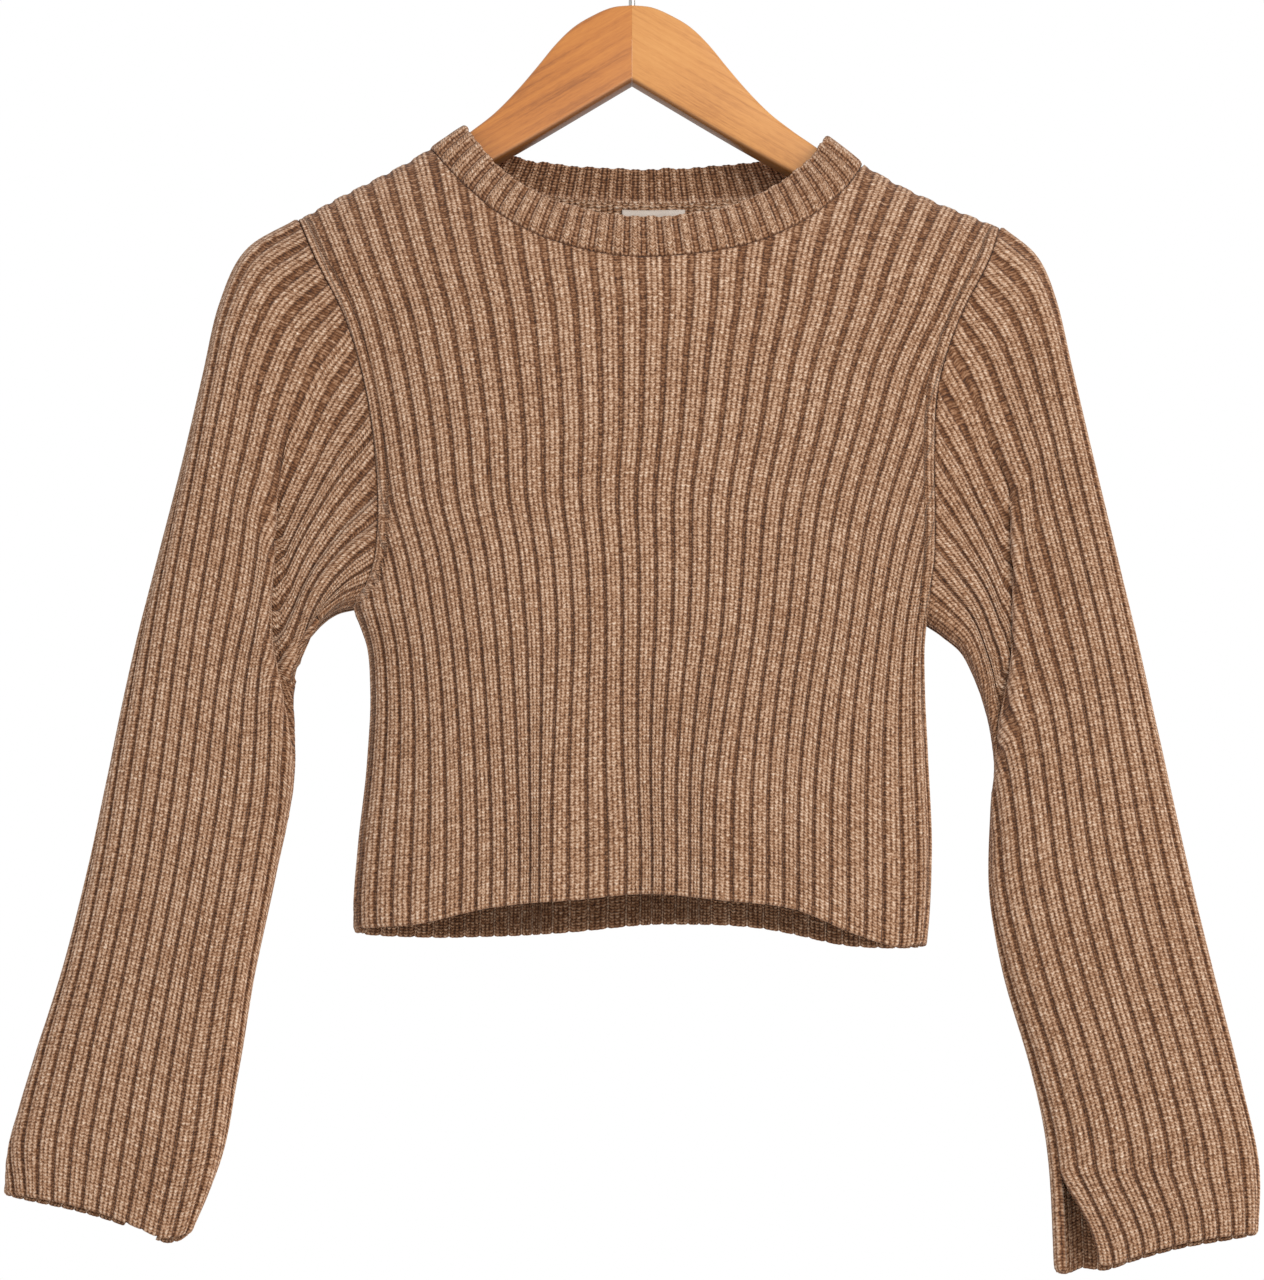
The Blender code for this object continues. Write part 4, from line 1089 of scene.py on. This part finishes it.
def sleeveFace(side, face, rows):
    # the columns of one face, each with its order, whether it reaches the cuff, and its points
    look = sleeveLook
    edgePlace = look["edgePlace"]
    total = float(tubeRibs["front" if face < 0 else "back"][0 if side < 0 else 1])
    lastRib = int(math.ceil(ribNumbers(side, face, 0.0)[-1]))
    ribs = np.array([(k, w) for k in range(lastRib) for w in ribProfile["wale"][:-1]])
    k, wale = ribs[:, 0], ribs[:, 1]
    coarse = np.linspace(0.0, 1.0, 81)
    spots, ribAt, waleAtEdge, most = [], [], [], []
    for along in rows:
        # how far apart the ribs are at this row sets how wide their grooves are
        numbers = ribNumbers(side, face, along)
        line = sleeveRow(side, face, coarse * edgePlace, along)
        nearby = look["nearby"] if along < 0.99 else -look["nearby"]
        ahead = sleeveRow(side, face, coarse * edgePlace, along + nearby)
        run = ahead - line
        run /= np.maximum(np.linalg.norm(run, axis=1, keepdims=True), 1e-9)
        turn = np.gradient(line, coarse, axis=0)
        across = np.linalg.norm(turn - run * (turn * run).sum(axis=1, keepdims=True), axis=1)
        pitch = across / np.gradient(np.interp(coarse, shares, numbers), coarse)
        groove = grooveShare(np.interp(np.interp(k + 0.5, numbers, shares), coarse, pitch))
        rib = np.append(k + ribPlace(wale, groove), total)
        spots.append(np.interp(rib, numbers, shares))
        ribAt.append(rib)
        most.append(numbers[-1])
        edgeGroove = grooveShare(np.interp(min(total / numbers[-1], 1.0), coarse, pitch))
        waleAtEdge.append(float(waleAt(total % 1.0, edgeGroove)) if total % 1.0 else 0.0)
    spots, ribAt, most = np.array(spots), np.array(ribAt), np.array(most)
    points = np.array([sleeveRow(side, face, spot * edgePlace, row) for spot, row in zip(spots, rows)])
    half = []
    for c in range(len(k) + 1):
        # the last column is the cloth's edge at the underarm, where the others may run out
        onEdge = c == len(k)
        over = np.nonzero(ribAt[:, c] > most + 1e-9)[0]
        last = len(rows) if onEdge or not len(over) else int(over[0])
        nearEdge = not onEdge and last == len(rows) and ribAt[-1, c] > total - look["edgeClear"]
        if last < 2 or nearEdge:
            continue
        if onEdge:
            number = 4 * math.floor(total) + np.array(waleAtEdge)
            relief = reliefAt(waleAtEdge)
        else:
            number = np.full(last, 4 * k[c] + wale[c])
            relief = np.full(last, float(reliefAt(wale[c])))
        column = {
            "point": points[:last, c],
            "key": list(range(last)),
            "relief": relief,
            "wale": number,
            "place": spots[:last, c],
            "along": rows[:last],
        }
        if last < len(rows):
            # the exact place where this rib runs out at the underarm seam
            before, after = ribAt[last - 1, c] - most[last - 1], ribAt[last, c] - most[last]
            tail = mix(rows[last - 1], rows[last], before / (before - after))
            tip = sleeveRow(side, face, np.array([edgePlace]), tail)
            column["point"] = np.concatenate([column["point"], tip])
            column["key"].append(last - 0.5)
            ending = {"relief": relief[-1], "wale": number[-1], "place": 1.0, "along": tail}
            for part, value in ending.items():
                column[part] = np.append(column[part], value)
        order = total if onEdge else float(ribAt[0, c])
        half.append((order, last == len(rows), column))
    half.sort(key=lambda entry: entry[0])
    return half


def bothFaces(point):
    # outward direction on a tube: forward on the front, backward on the back
    return np.sign(point) * (0.0, 1.0, 0.0)


def makeSleeve(name, side, material):
    look = sleeveLook
    merge = look["merge"]
    rows = np.concatenate([
        look["startRows"],
        np.linspace(look["upperRows"][0], merge, look["upperRows"][1]),
        np.linspace(merge, *look["lowerRows"])[1:],
        look["cuffRows"],
    ])
    mergeKey = int(np.argmin(np.abs(rows - merge)))
    built = {face: sleeveFace(side, face, rows) for face in (-1, 1)}
    edgePoints = [column["point"] for order, whole, column in built[1] if whole][-1]
    front = [(-order, whole, column) for order, whole, column in built[-1][::-1]]
    for entry in front:
        entry[2]["wale"] = -entry[2]["wale"]
    chain = front + built[1][1:]
    # stitches are counted from the cuff up, and a rib that runs out starts at the seam's count
    seamCount = arcLength(edgePoints)
    seamCount = seamCount[-1] - seamCount
    columns, stops = [], {}
    for number, (order, whole, column) in enumerate(chain):
        relief, along, place = column["relief"], column["along"], column["place"]
        base = 0.0 if whole else float(np.interp(along[-1], rows, seamCount))
        toCuff = 1 - smoothStep(0.985, 1.0, along)
        point = column["point"].copy()
        point[:, 2] -= look["scallop"] * (relief - 0.5) * (1 - toCuff)
        calm = 1 - smoothStep(0.01, look["calmReach"], 1.0 - place)
        calm = calm * (1 - smoothStep(0.5, 0.62, along))
        relief = mix(relief, 0.5, calm)
        # thinner at the cuff's free edge, at the armhole seam and where the two faces meet
        length = arcLength(point)
        left = np.where(along > 0.9, (1.0 - along) * look["long"], farAway)
        free = mix(0.4, 1.0, smoothStep(-0.3, 2.6, left))
        outer, inner = clothOffsets(relief)
        ease = mix(0.5, 1.0, smoothStep(0.0, 0.012, 1.0 - place))
        columns.append({
            "point": point,
            "key": column["key"],
            # a lower relief at the armhole seam also paints a shadow line there, through the painted
            # groove shade; the inner skin's tone is the same painted shade
            "relief": relief * mix(0.4, 1.0, smoothStep(-0.2, 1.6, length)),
            "innerTone": 1.05 - 0.65 * relief,
            "wale": column["wale"],
            "course": (base + length[-1] - length) / clothLook["course"],
            "outer": outer * np.minimum(mix(0.6, 1.0, smoothStep(-0.2, 1.5, length)), free) * ease,
            "inner": inner * free,
        })
        if number and whole != chain[number - 1][1]:
            stops[number - 1] = mergeKey
    piece = makeCloth(name + "_knit", columns, bothFaces, material, stops=stops)
    settle(piece, name)
    return piece


# Neckband
bandLook = {
    "ribsFront": 32,
    "ribsBack": 28,
    "centre": 5.0,       # x of the ring's middle
    "bulge": 1.5,        # how far the band's middle stands out
    "proud": 0.8,        # how far it stands in front of the body
    "relief": 2.3,
    "startRows": (0.0, 0.6, 1.5, 2.8),
    "endRows": (2.8, 1.9, 1.2, 0.5, 0.0),
    "rowsBetween": 8,
    "edgeRound": ((0.0, 0.5, 1.2, 2.2), (0.4, 0.72, 0.92, 1.0)),  # distance from it, thickness
    "cornerReach": 15.0,
    "cornerEase": 0.95,  # the band lies closer over the shoulders,
    "cornerThin": 0.78,  # is flatter there
    "cornerLow": (1.8, 3.4),  # and a little lower, on the left and on the right
    "bumps": 0.8,        # how far ribs stand up at the free edge
    "edgeCord": 1.5,     # width of the cast-off edge
    "seamCord": 1.4,     # thickness of the sewn edge inside
    "uneven": 1.0,
    "lighter": 0.12,     # its tighter stitches show less of the grooves, so it gets less of the painted groove shade
    "flat": (0.60, 0.03),  # metres
}
bandProfile = rowsOf(
    "place height wale",
    (0.0, 0.16, -0.5),
    (0.17, 0.2, 0.1),
    (0.26, 0.75, 0.6),
    (0.34, 1.05, 1.0),
    (0.5, 0.7, 1.5),
    (0.66, 1.05, 2.0),
    (0.74, 0.75, 2.4),
    (0.83, 0.2, 2.9),
)


def bandPaths(face):
    # matching points along the band's two edges, and the length along the seam
    edges = []
    for name in ("seam", "top"):
        x, drop = bandEdge(face, name)
        y = bodyDepth(x, drop, face)
        y[0] = y[-1] = 0.0
        edges.append(np.stack([x, y, -drop], axis=1))
    return edges[0], edges[1], arcLength(edges[0])


def facingOut(point):
    # outward direction on a ring round the neck
    return (point - (bandLook["centre"], 0.0, 0.0)) * (1.0, 1.0, 0.0)


def makeNeckband(name, material):
    look = bandLook
    columns = []
    ribs = 0
    for face, count in ((-1, look["ribsFront"]), (1, look["ribsBack"])):
        seam, top, length = bandPaths(face)
        for k in range(count):
            for place, height, wale in zip(*bandProfile.values()):
                share = (k + place) / count
                share = share if face < 0 else 1.0 - share
                far = share * length[-1]
                low = np.array([np.interp(far, length, seam[:, a]) for a in range(3)])
                high = np.array([np.interp(far, length, top[:, a]) for a in range(3)])
                tall = np.linalg.norm(high - low)
                start = float(neckInset(low[0])) - 0.05
                wave = look["uneven"] * math.sin(2.1 * (ribs + k))
                wave = wave * math.sin(0.37 * (ribs + k) + 1.0)
                fromCorner = min(share, 1 - share) * length[-1]
                corner = math.exp(-(fromCorner / look["cornerReach"]) ** 2)
                end = tall + wave * 0.5 * (1 - corner) + look["bumps"] * (height - 0.5)
                end -= look["cornerLow"][int(share > 0.5)] * corner
                first = start + np.array(look["startRows"])
                last = end - np.array(look["endRows"])
                between = np.linspace(first[-1], last[0], look["rowsBetween"] + 2)[1:-1]
                along = np.concatenate([first, between, last])
                point = low + (high - low) * (along / tall)[:, None]
                # the band bulges in its middle, and is thinner at its seam and free edge
                t = np.clip(along / tall, 0.0, 1.0)
                out = look["bulge"] * 4 * t * (1 - t)
                out = out + look["proud"] * smoothStep(0.0, 4.0, along - start)
                out = out * (1 - look["cornerEase"] * corner)
                fromTop = end - along
                bound = 1 - smoothStep(0.6 * look["edgeCord"], 1.4 * look["edgeCord"], fromTop)
                ridge = mix(height, max(height, 0.8), bound)
                free = np.interp(fromTop, *look["edgeRound"])
                sewn = mix(0.35, 1.0, smoothStep(-0.3, 2.2, along - start))
                cord = look["seamCord"] * (1 - smoothStep(1.6, 3.0, along - start))
                # painted shade along the band's sewn edge, through a lower relief
                seamPaintedShade = mix(0.3, 1.0, smoothStep(-0.2, 1.6, along - start))
                outer = (0.5 + look["relief"] * ridge) * np.minimum(sewn, free)
                outer = outer * (1 - look["cornerThin"] * corner) + out
                columns.append({
                    "point": point,
                    "key": list(range(len(along))),
                    "relief": (ridge + look["lighter"]) * seamPaintedShade,
                    "innerTone": mix(1 - height, 1.0, 1 - smoothStep(1.6, 3.2, along - start)),
                    "wale": np.full(len(along), 4.0 * (ribs + k) + wale + 0.5),
                    "course": along / clothLook["course"],
                    "outer": outer,
                    "inner": (1.0 + 0.9 * (1 - height)) * free + cord - out * 0.6,
                })
        ribs += count
    piece = makeCloth(name + "_knit", columns, facingOut, material, closed=True)
    settle(piece, name)
    return piece


# The label is woven polyester satin: a smooth pale face with a soft gloss. Its threads are
# too fine to show; soft bands of painted sheen run across it, and its bumps follow them.
labelLook = {
    "centre": 13.0,
    "size": (38.0, 20.0),
    "rows": (40, 22),
    "below": 4.2,        # how far under the neck seam it starts
    "inFront": 3.0,      # how far it stands off the middle of the back's cloth
    "thick": 0.6,
    "bands": 50.0,       # bands of painted sheen, 6.3 mm apart
    "light": "#c9beb4",
    "dark": "#a89b90",
    "shader": {"Roughness": 0.55, "Sheen Weight": 0.2},
}


def makeLabelCloth(name, look):
    material, tree, shader = newMaterial(name, look["shader"])
    space = addNode(tree, "TexCoord", {}).outputs["Object"]
    sheenBand = addNode(tree, "TexWave", {
        "Vector": space,
        "bands_direction": "Z",
        "Scale": look["bands"],
        "Distortion": 0.4,
        "Detail": 1.0,
    }).outputs["Fac"]
    cloud = addNode(tree, "TexNoise", {"Vector": space, "Scale": 160.0, "Detail": 3.0}).outputs[0]
    # the painted sheen bands and a broad cloud of tone make the colour
    tone = addNode(tree, "Math", {"operation": "MULTIPLY_ADD", 0: sheenBand, 1: 0.45, 2: 0.0}).outputs[0]
    tone = addNode(tree, "Math", {"operation": "MULTIPLY_ADD", 0: cloud, 1: 0.6, 2: tone}).outputs[0]
    ramp = addNode(tree, "ValToRGB", {0: tone})
    setRamp(ramp, ((0.1, look["dark"]), (0.9, look["light"])))
    bump = addNode(tree, "Bump", {"Strength": 0.5, "Distance": 0.0002, "Height": sheenBand})
    tree.links.new(ramp.outputs["Color"], shader.inputs["Base Color"])
    tree.links.new(bump.outputs["Normal"], shader.inputs["Normal"])
    return material


def makeLabel(name, material):
    look = labelLook
    columns = []
    size = look["size"]
    down = np.linspace(0.0, 1.0, look["rows"][1])
    plain = np.ones_like(down)
    for s in np.linspace(-0.5, 0.5, look["rows"][0]):
        x = (look["centre"] + size[0] * s) * plain
        drop = np.interp(x, *neckSeams[1]) + look["below"] + size[1] * down
        wave = 0.35 * np.sin(5.0 * s + 2.0 * down)
        y = bodyDepth(x, drop, 1) - look["inFront"] - wave - 0.6 * down
        edge = np.minimum((0.5 - abs(s)) * size[0], np.minimum(down, 1 - down) * size[1])
        thin = look["thick"] / 2 * mix(0.45, 1.0, smoothStep(0.0, 0.8, edge))
        columns.append({
            "point": np.stack([x, y, -drop], axis=1),
            "key": list(range(len(down))),
            "relief": plain,
            "innerTone": plain,
            "wale": x,
            "course": drop,
            "outer": thin,
            "inner": thin,
        })
    piece = makeCloth(name + "_satin", columns, facingForward, material)
    settle(piece, name)
    return piece


# The hanger's outline
woodTop = rowsOf(
    "x drop",
    (0.0, 48.6),
    (12.0, 50.0),
    (24.0, 55.5),
    (36.0, 63.5),
    (46.0, 74.0),
    (57.0, 88.5),
    (68.0, 102.5),
    (82.0, 118.0),
    (98.0, 131.5),
)
woodShoulder = rowsOf(
    "x below",           # under the shoulders, distance below the middle of the cloth
    (114.0, 5.4),
    (124.0, 7.0),
    (136.0, 6.0),
    (158.0, 2.9),
    (180.0, 2.9),
    (194.0, 2.9),
)
woodBottom = rowsOf("x drop", (0.0, 98.5), (76.0, 147.0), (120.0, 171.5), (198.0, 211.0))
woodLook = {
    "thick": 12.0,
    "edge": 3.0,         # radius of the rounded edges
    "edgeSteps": 5,
    "outlineSteps": 260,
    "mitre": 0.02,
    "reach": 206.0,
    "bore": 2.3,
    "boreDeep": 21.0,
}
# Beech, planed, sanded and varnished: straight fine grain along each arm, with short
# darker ray flecks under a satin film. The two halves come from different boards.
# under: the colour of the painted shade along each board's lower edge
beechLooks = {
    -1: {"light": "#be7a34", "middle": "#b06c2c", "dark": "#8e521f", "under": "#5e3818", "turn": 0.56},
    1: {"light": "#cb9150", "middle": "#c18444", "dark": "#a66a32", "under": "#7a4c24", "turn": -0.56},
}
beechShader = {"Roughness": 0.42, "Coat Weight": 0.25, "Coat Roughness": 0.25, "IOR": 1.5}


def makeBeech(name, look):
    material, tree, shader = newMaterial(name, beechShader)
    space = addNode(tree, "TexCoord", {}).outputs["Object"]
    lean = (0.0, look["turn"], 0.0)
    turned = addNode(tree, "Mapping", {"Vector": space, "Rotation": lean}).outputs[0]
    # growth lines 3 mm apart and 200 mm long
    lines = addNode(tree, "Mapping", {"Vector": turned, "Scale": (5.0, 160.0, 330.0)}).outputs[0]
    grain = addNode(tree, "TexNoise", {
        "Vector": lines, "Scale": 1.0, "Detail": 4.0, "Roughness": 0.55,
    }).outputs[0]
    # ray flecks 0.6 mm wide and 5 mm long
    rays = addNode(tree, "Mapping", {"Vector": turned, "Scale": (190.0, 900.0, 1500.0)}).outputs[0]
    fleck = addNode(tree, "TexNoise", {"Vector": rays, "Scale": 1.0, "Detail": 1.0}).outputs[0]
    cloud = addNode(tree, "TexNoise", {"Vector": turned, "Scale": 14.0, "Detail": 2.0}).outputs[0]
    tone = addNode(tree, "Math", {"operation": "MULTIPLY_ADD", 0: fleck, 1: 0.35, 2: -0.17}).outputs[0]
    tone = addNode(tree, "Math", {"operation": "ADD", 0: grain, 1: tone}).outputs[0]
    tone = addNode(tree, "Math", {"operation": "MULTIPLY_ADD", 0: cloud, 1: 0.5, 2: tone}).outputs[0]
    ramp = addNode(tree, "ValToRGB", {0: tone})
    setRamp(ramp, ((0.45, look["dark"]), (0.72, look["middle"]), (1.0, look["light"])))
    bump = addNode(tree, "Bump", {"Strength": 0.25, "Distance": 0.0002, "Height": tone})
    # painted shade along the board's lower edge, broken up by the grain
    under = addNode(tree, "Attribute", {"attribute_name": "under"}).outputs["Fac"]
    cut = addNode(tree, "Math", {"operation": "MULTIPLY_ADD", 0: grain, 1: 0.5, 2: 0.6}).outputs[0]
    cut = addNode(tree, "Math", {"operation": "MULTIPLY", 0: cut, 1: under}).outputs[0]
    shade = addNode(tree, "MixRGB", {
        "Fac": cut, "Color1": ramp.outputs["Color"], "Color2": linear(look["under"]),
    })
    tree.links.new(shade.outputs["Color"], shader.inputs["Base Color"])
    tree.links.new(bump.outputs["Normal"], shader.inputs["Normal"])
    return material


def armOutline():
    # the board's outline from the top of the mitre, out over the tip and back underneath
    look = woodLook
    x = np.linspace(look["mitre"], woodTop["x"][-1], 44)
    top = list(zip(x, smoothAt(woodTop["x"], woodTop["drop"], x)))
    for place, below in zip(woodShoulder["x"], woodShoulder["below"]):
        both = smoothAt(shoulderLine["x"], shoulderLine["drop"], np.array([-place, place]))
        top.append((place, float(both.max()) + below))
    tip = top[-1][1]
    reach = look["reach"]
    top += [(reach - 4.0, tip + 6.0), (reach, tip + 12.0), (reach - 1.5, tip + 20.0)]
    under = list(zip(np.maximum(woodBottom["x"], look["mitre"]), woodBottom["drop"]))
    line = np.array(top + under[::-1])
    for _ in range(3):
        quarter = line[:-1] * 0.75 + line[1:] * 0.25
        threeQuarters = line[:-1] * 0.25 + line[1:] * 0.75
        inner = np.stack([quarter, threeQuarters], axis=1).reshape(-1, 2)
        line = np.concatenate([line[:1], inner, line[-1:]])
    length = arcLength(line)
    even = np.linspace(0.0, length[-1], look["outlineSteps"])
    return np.stack([np.interp(even, length, line[:, a]) for a in range(2)], axis=1)


def cutBore(arm):
    # the bore for the hook's stem
    look = woodLook
    radius, over = look["bore"] * mm, 5.0
    tool = bmesh.new()
    bmesh.ops.create_cone(
        tool,
        cap_ends=True,
        segments=48,
        radius1=radius,
        radius2=radius,
        depth=(look["boreDeep"] + 2 * over) * mm,
    )
    middle = -woodTop["drop"][0] + over - look["boreDeep"] / 2
    bmesh.ops.translate(tool, verts=tool.verts, vec=(0.0, 0.0, middle * mm))
    cutterMesh = bpy.data.meshes.new("bore_cutter")
    tool.to_mesh(cutterMesh)
    tool.free()
    cutter = addObject("bore_cutter", cutterMesh)
    bore = arm.modifiers.new("bore", "BOOLEAN")
    bore.operation = "DIFFERENCE"
    bore.object = cutter
    cut = arm.evaluated_get(bpy.context.evaluated_depsgraph_get())
    bored = bpy.data.meshes.new_from_object(cut)
    arm.modifiers.clear()
    arm.data = bored
    bpy.data.objects.remove(cutter, do_unlink=True)


def makeArm(name, side, material):
    look = woodLook
    line = armOutline()
    direction = np.gradient(line, axis=0)
    direction /= np.linalg.norm(direction, axis=1, keepdims=True)
    inward = np.stack([-direction[:, 1], direction[:, 0]], axis=1)
    inward[0], inward[-1] = (0.0, 1.0), (0.0, -1.0)
    edge, flat = look["edge"], look["thick"] / 2 - look["edge"]
    angles = np.radians(np.linspace(90.0, 0.0, look["edgeSteps"] + 1))
    profile = [(edge * (1 - math.cos(a)), flat + edge * math.sin(a)) for a in angles]
    profile += [(inset, -y) for inset, y in profile[::-1]]
    loops = []
    for inset, y in profile:
        moved = line + inward * inset
        loops.append(np.stack([side * moved[:, 0], np.full(len(moved), y), -moved[:, 1]], axis=1))
    count = len(line)
    faces = []
    for j in range(len(profile) - 1):
        for i in range(count - 1):
            near, far = j * count + i, (j + 1) * count + i
            faces.append((near, near + 1, far + 1, far))
    last = (len(profile) - 1) * count
    faces.append(tuple(range(count))[::-1])
    faces.append(tuple(range(last, last + count)))
    ends = [j * count for j in range(len(profile))]
    faces.append(tuple(ends + [e + count - 1 for e in ends[::-1]]))
    mesh = bpy.data.meshes.new(name)
    mesh.from_pydata((np.concatenate(loops) * mm).tolist(), [], faces)
    # painted shade along the board's lower edge, strongest on its rounded rim
    lower = np.arange(count) > np.argmax(line[:, 0])
    rim = [float(smoothStep(0.1, 0.7, 1 - inset / edge)) for inset, y in profile]
    under = np.concatenate([lower * value for value in rim])
    attribute = mesh.attributes.new("under", "FLOAT", "POINT")
    attribute.data.foreach_set("value", under.astype(np.float32))
    faceOutward(mesh)
    arm = addObject(name + "_beech", mesh)
    cutBore(arm)
    bored = arm.data
    bored.name = name
    bored.shade_smooth()
    bored.set_sharp_from_angle(angle=math.radians(35))
    bored.materials.clear()
    bored.materials.append(material)
    settle(arm, name)
    print(name, "made of", len(bored.polygons), "faces")
    return arm


# Drawn steel wire, polished: a bright metal with a faint fine mottle in its tone and gloss
steelLook = {
    "colour": "#c9c8c4",
    "shader": {"Metallic": 1.0, "Roughness": 0.22},
}
hookLook = {
    "wire": 4.0,
    "inner": 18.0,       # radius inside the crown
    "stemDeep": 20.0,
    "stemOut": 4.0,
    "join": -38.0,       # degrees round the crown where the stem's bend meets it
    "crown": 236.0,
    "steps": 72,
    "sides": 24,
    "tip": (30.0, 55.0, 75.0),  # degrees, the rings that round the tip
    "tipLong": 0.8,
}


def makeSteel(name, look):
    material, tree, shader = newMaterial(name, look["shader"])
    space = addNode(tree, "TexCoord", {}).outputs["Object"]
    noise = addNode(tree, "TexNoise", {"Vector": space, "Scale": 900.0, "Detail": 2.0}).outputs[0]
    rough = addNode(tree, "Math", {"operation": "MULTIPLY_ADD", 0: noise, 1: 0.16, 2: 0.12}).outputs[0]
    ramp = addNode(tree, "ValToRGB", {0: noise})
    setRamp(ramp, ((0.2, "#b9b8b5"), (0.9, look["colour"])))
    tree.links.new(ramp.outputs["Color"], shader.inputs["Base Color"])
    tree.links.new(rough, shader.inputs["Roughness"])
    return material


def ringPoints(middle, radius, normal):
    # one ring round the wire, which lies in the XZ plane
    points = []
    for a in np.linspace(0.0, 2 * math.pi, hookLook["sides"], endpoint=False):
        out = math.cos(a) * normal + math.sin(a) * np.array([0.0, 1.0, 0.0])
        points.append(middle + radius * out)
    return points


def makeHook(name, material):
    look = hookLook
    radius = look["inner"] + look["wire"] / 2
    centre = -look["inner"]
    stemEnd = -woodTop["drop"][0] - look["stemDeep"]
    stemTop = -woodTop["drop"][0] + look["stemOut"]
    points = [(0.0, z) for z in np.linspace(stemEnd, stemTop, 7)]
    join = math.radians(look["join"])
    joinPoint = np.array([radius * math.cos(join), centre + radius * math.sin(join)])
    joinSlope = np.array([-math.sin(join), math.cos(join)])
    start, up = np.array([0.0, stemTop]), np.array([0.0, 1.0])
    reach = np.linalg.norm(joinPoint - start) * 1.25
    for t in np.linspace(0.0, 1.0, 25)[1:-1]:
        points.append(tuple(fanPoint(start, up * reach, joinPoint, joinSlope * reach, t)))
    for angle in np.linspace(join, join + math.radians(look["crown"]), look["steps"]):
        points.append((radius * math.cos(angle), centre + radius * math.sin(angle)))
    path = np.array([(x, 0.0, z) for x, z in points])
    length = arcLength(path)
    direction = np.gradient(path, axis=0)
    direction /= np.linalg.norm(direction, axis=1, keepdims=True)
    normal = np.stack([direction[:, 2], direction[:, 1] * 0, -direction[:, 0]], axis=1)
    sides = look["sides"]
    rings = []
    for middle, out in zip(path, normal):
        rings += ringPoints(middle, look["wire"] / 2, out)
    for turn in look["tip"]:
        turn = math.radians(turn)
        middle = path[-1] + direction[-1] * look["tipLong"] * math.sin(turn)
        rings += ringPoints(middle, look["wire"] / 2 * math.cos(turn) ** 0.6, normal[-1])
    count = len(rings) // sides
    faces = []
    for k in range(count - 1):
        for a in range(sides):
            b = (a + 1) % sides
            faces.append((k * sides + a, k * sides + b, (k + 1) * sides + b, (k + 1) * sides + a))
    faces.append(tuple(range(sides))[::-1])
    faces.append(tuple(range((count - 1) * sides, count * sides)))
    mesh = bpy.data.meshes.new(name)
    mesh.from_pydata((np.array(rings) * mm).tolist(), [], faces)
    faceOutward(mesh)
    mesh.shade_smooth()
    mesh.set_sharp_from_angle(angle=math.radians(50))
    mesh.materials.append(material)
    piece = addObject(name + "_wire", mesh)
    settle(piece, name)
    print(name, "made")
    return piece


# Studio
studioLook = {
    "floorDrop": 1.75,
    "floorSize": 9.0,
    "floor": ("#e6e4e0", "#efedea"),
    "worldLight": 0.78,
    "lights": (
        # name, place, size, watts, colour
        ("key", (1.3, -2.1, 0.35), (1.6, 1.6), 43.0, "#fffaf3"),
        ("fill", (-1.8, -1.9, -0.1), (1.8, 1.8), 11.0, "#f6f8ff"),
        ("rim", (1.5, 0.9, -0.2), (0.5, 1.5), 18.0, "#ffe9d2"),
    ),
    "aim": (0.0, 0.0, -0.42),
    "camera": {"place": (0.0, -2.3182, -1.0657), "tilt": 105.0, "lens": 116.38, "sensor": 36.0},
}


def makeStudio():
    look = studioLook
    material, tree, shader = newMaterial("studio_floor_paper", {"Roughness": 0.85})
    space = addNode(tree, "TexCoord", {}).outputs["Object"]
    noise = addNode(tree, "TexNoise", {"Vector": space, "Scale": 6.0, "Detail": 4.0}).outputs[0]
    ramp = addNode(tree, "ValToRGB", {0: noise})
    setRamp(ramp, ((0.3, look["floor"][0]), (0.7, look["floor"][1])))
    tree.links.new(ramp.outputs["Color"], shader.inputs["Base Color"])
    half, z = look["floorSize"] / 2, -look["floorDrop"]
    mesh = bpy.data.meshes.new("studio_floor")
    corners = [(-half, -half, z), (half, -half, z), (half, half, z), (-half, half, z)]
    mesh.from_pydata(corners, [], [(0, 1, 2, 3)])
    mesh.materials.append(material)
    addObject("studio_floor", mesh)
    world = bpy.data.worlds.new("studio_world")
    bpy.context.scene.world = world
    world.use_nodes = True
    tree = world.node_tree
    background = tree.nodes["Background"]
    background.inputs["Color"].default_value = (1.0, 1.0, 1.0, 1.0)
    seen = addNode(tree, "LightPath", {}).outputs["Is Camera Ray"]
    # the backdrop is white to the camera, and lights the object a little less
    strength = addNode(tree, "MapRange", {
        "Value": seen, "To Min": look["worldLight"], "To Max": 1.0,
    }).outputs[0]
    tree.links.new(strength, background.inputs["Strength"])
    for name, place, size, watts, colour in look["lights"]:
        light = bpy.data.lights.new(name, "AREA")
        light.shape = "RECTANGLE"
        light.size, light.size_y = size
        light.energy = watts
        light.color = linear(colour)[:3]
        lamp = addObject(name, light)
        lamp.location = place
        towards = Vector(look["aim"]) - Vector(place)
        lamp.rotation_euler = towards.to_track_quat("-Z", "Y").to_euler()
    view = look["camera"]
    camera = bpy.data.cameras.new("camera")
    camera.lens, camera.sensor_width = view["lens"], view["sensor"]
    tripod = addObject("camera", camera)
    tripod.location = view["place"]
    tripod.rotation_euler = (math.radians(view["tilt"]), 0.0, 0.0)
    bpy.context.scene.camera = tripod
    bpy.context.scene.view_settings.view_transform = "Standard"
    print("studio ready")


knit = makeKnit("melange_cotton_rib", knitLook)
makeBody("front", -1, knit)
makeBody("back", 1, knit)
makeSleeve("sleeve_left", -1, knit)
makeSleeve("sleeve_right", 1, knit)
makeNeckband("neckband", knit)
makeLabel("neck_label", makeLabelCloth("woven_satin_label", labelLook))
makeArm("hanger_arm_left", -1, makeBeech("varnished_beech_dark", beechLooks[-1]))
makeArm("hanger_arm_right", 1, makeBeech("varnished_beech_light", beechLooks[1]))
makeHook("hanger_hook", makeSteel("polished_steel_wire", steelLook))
makeStudio()
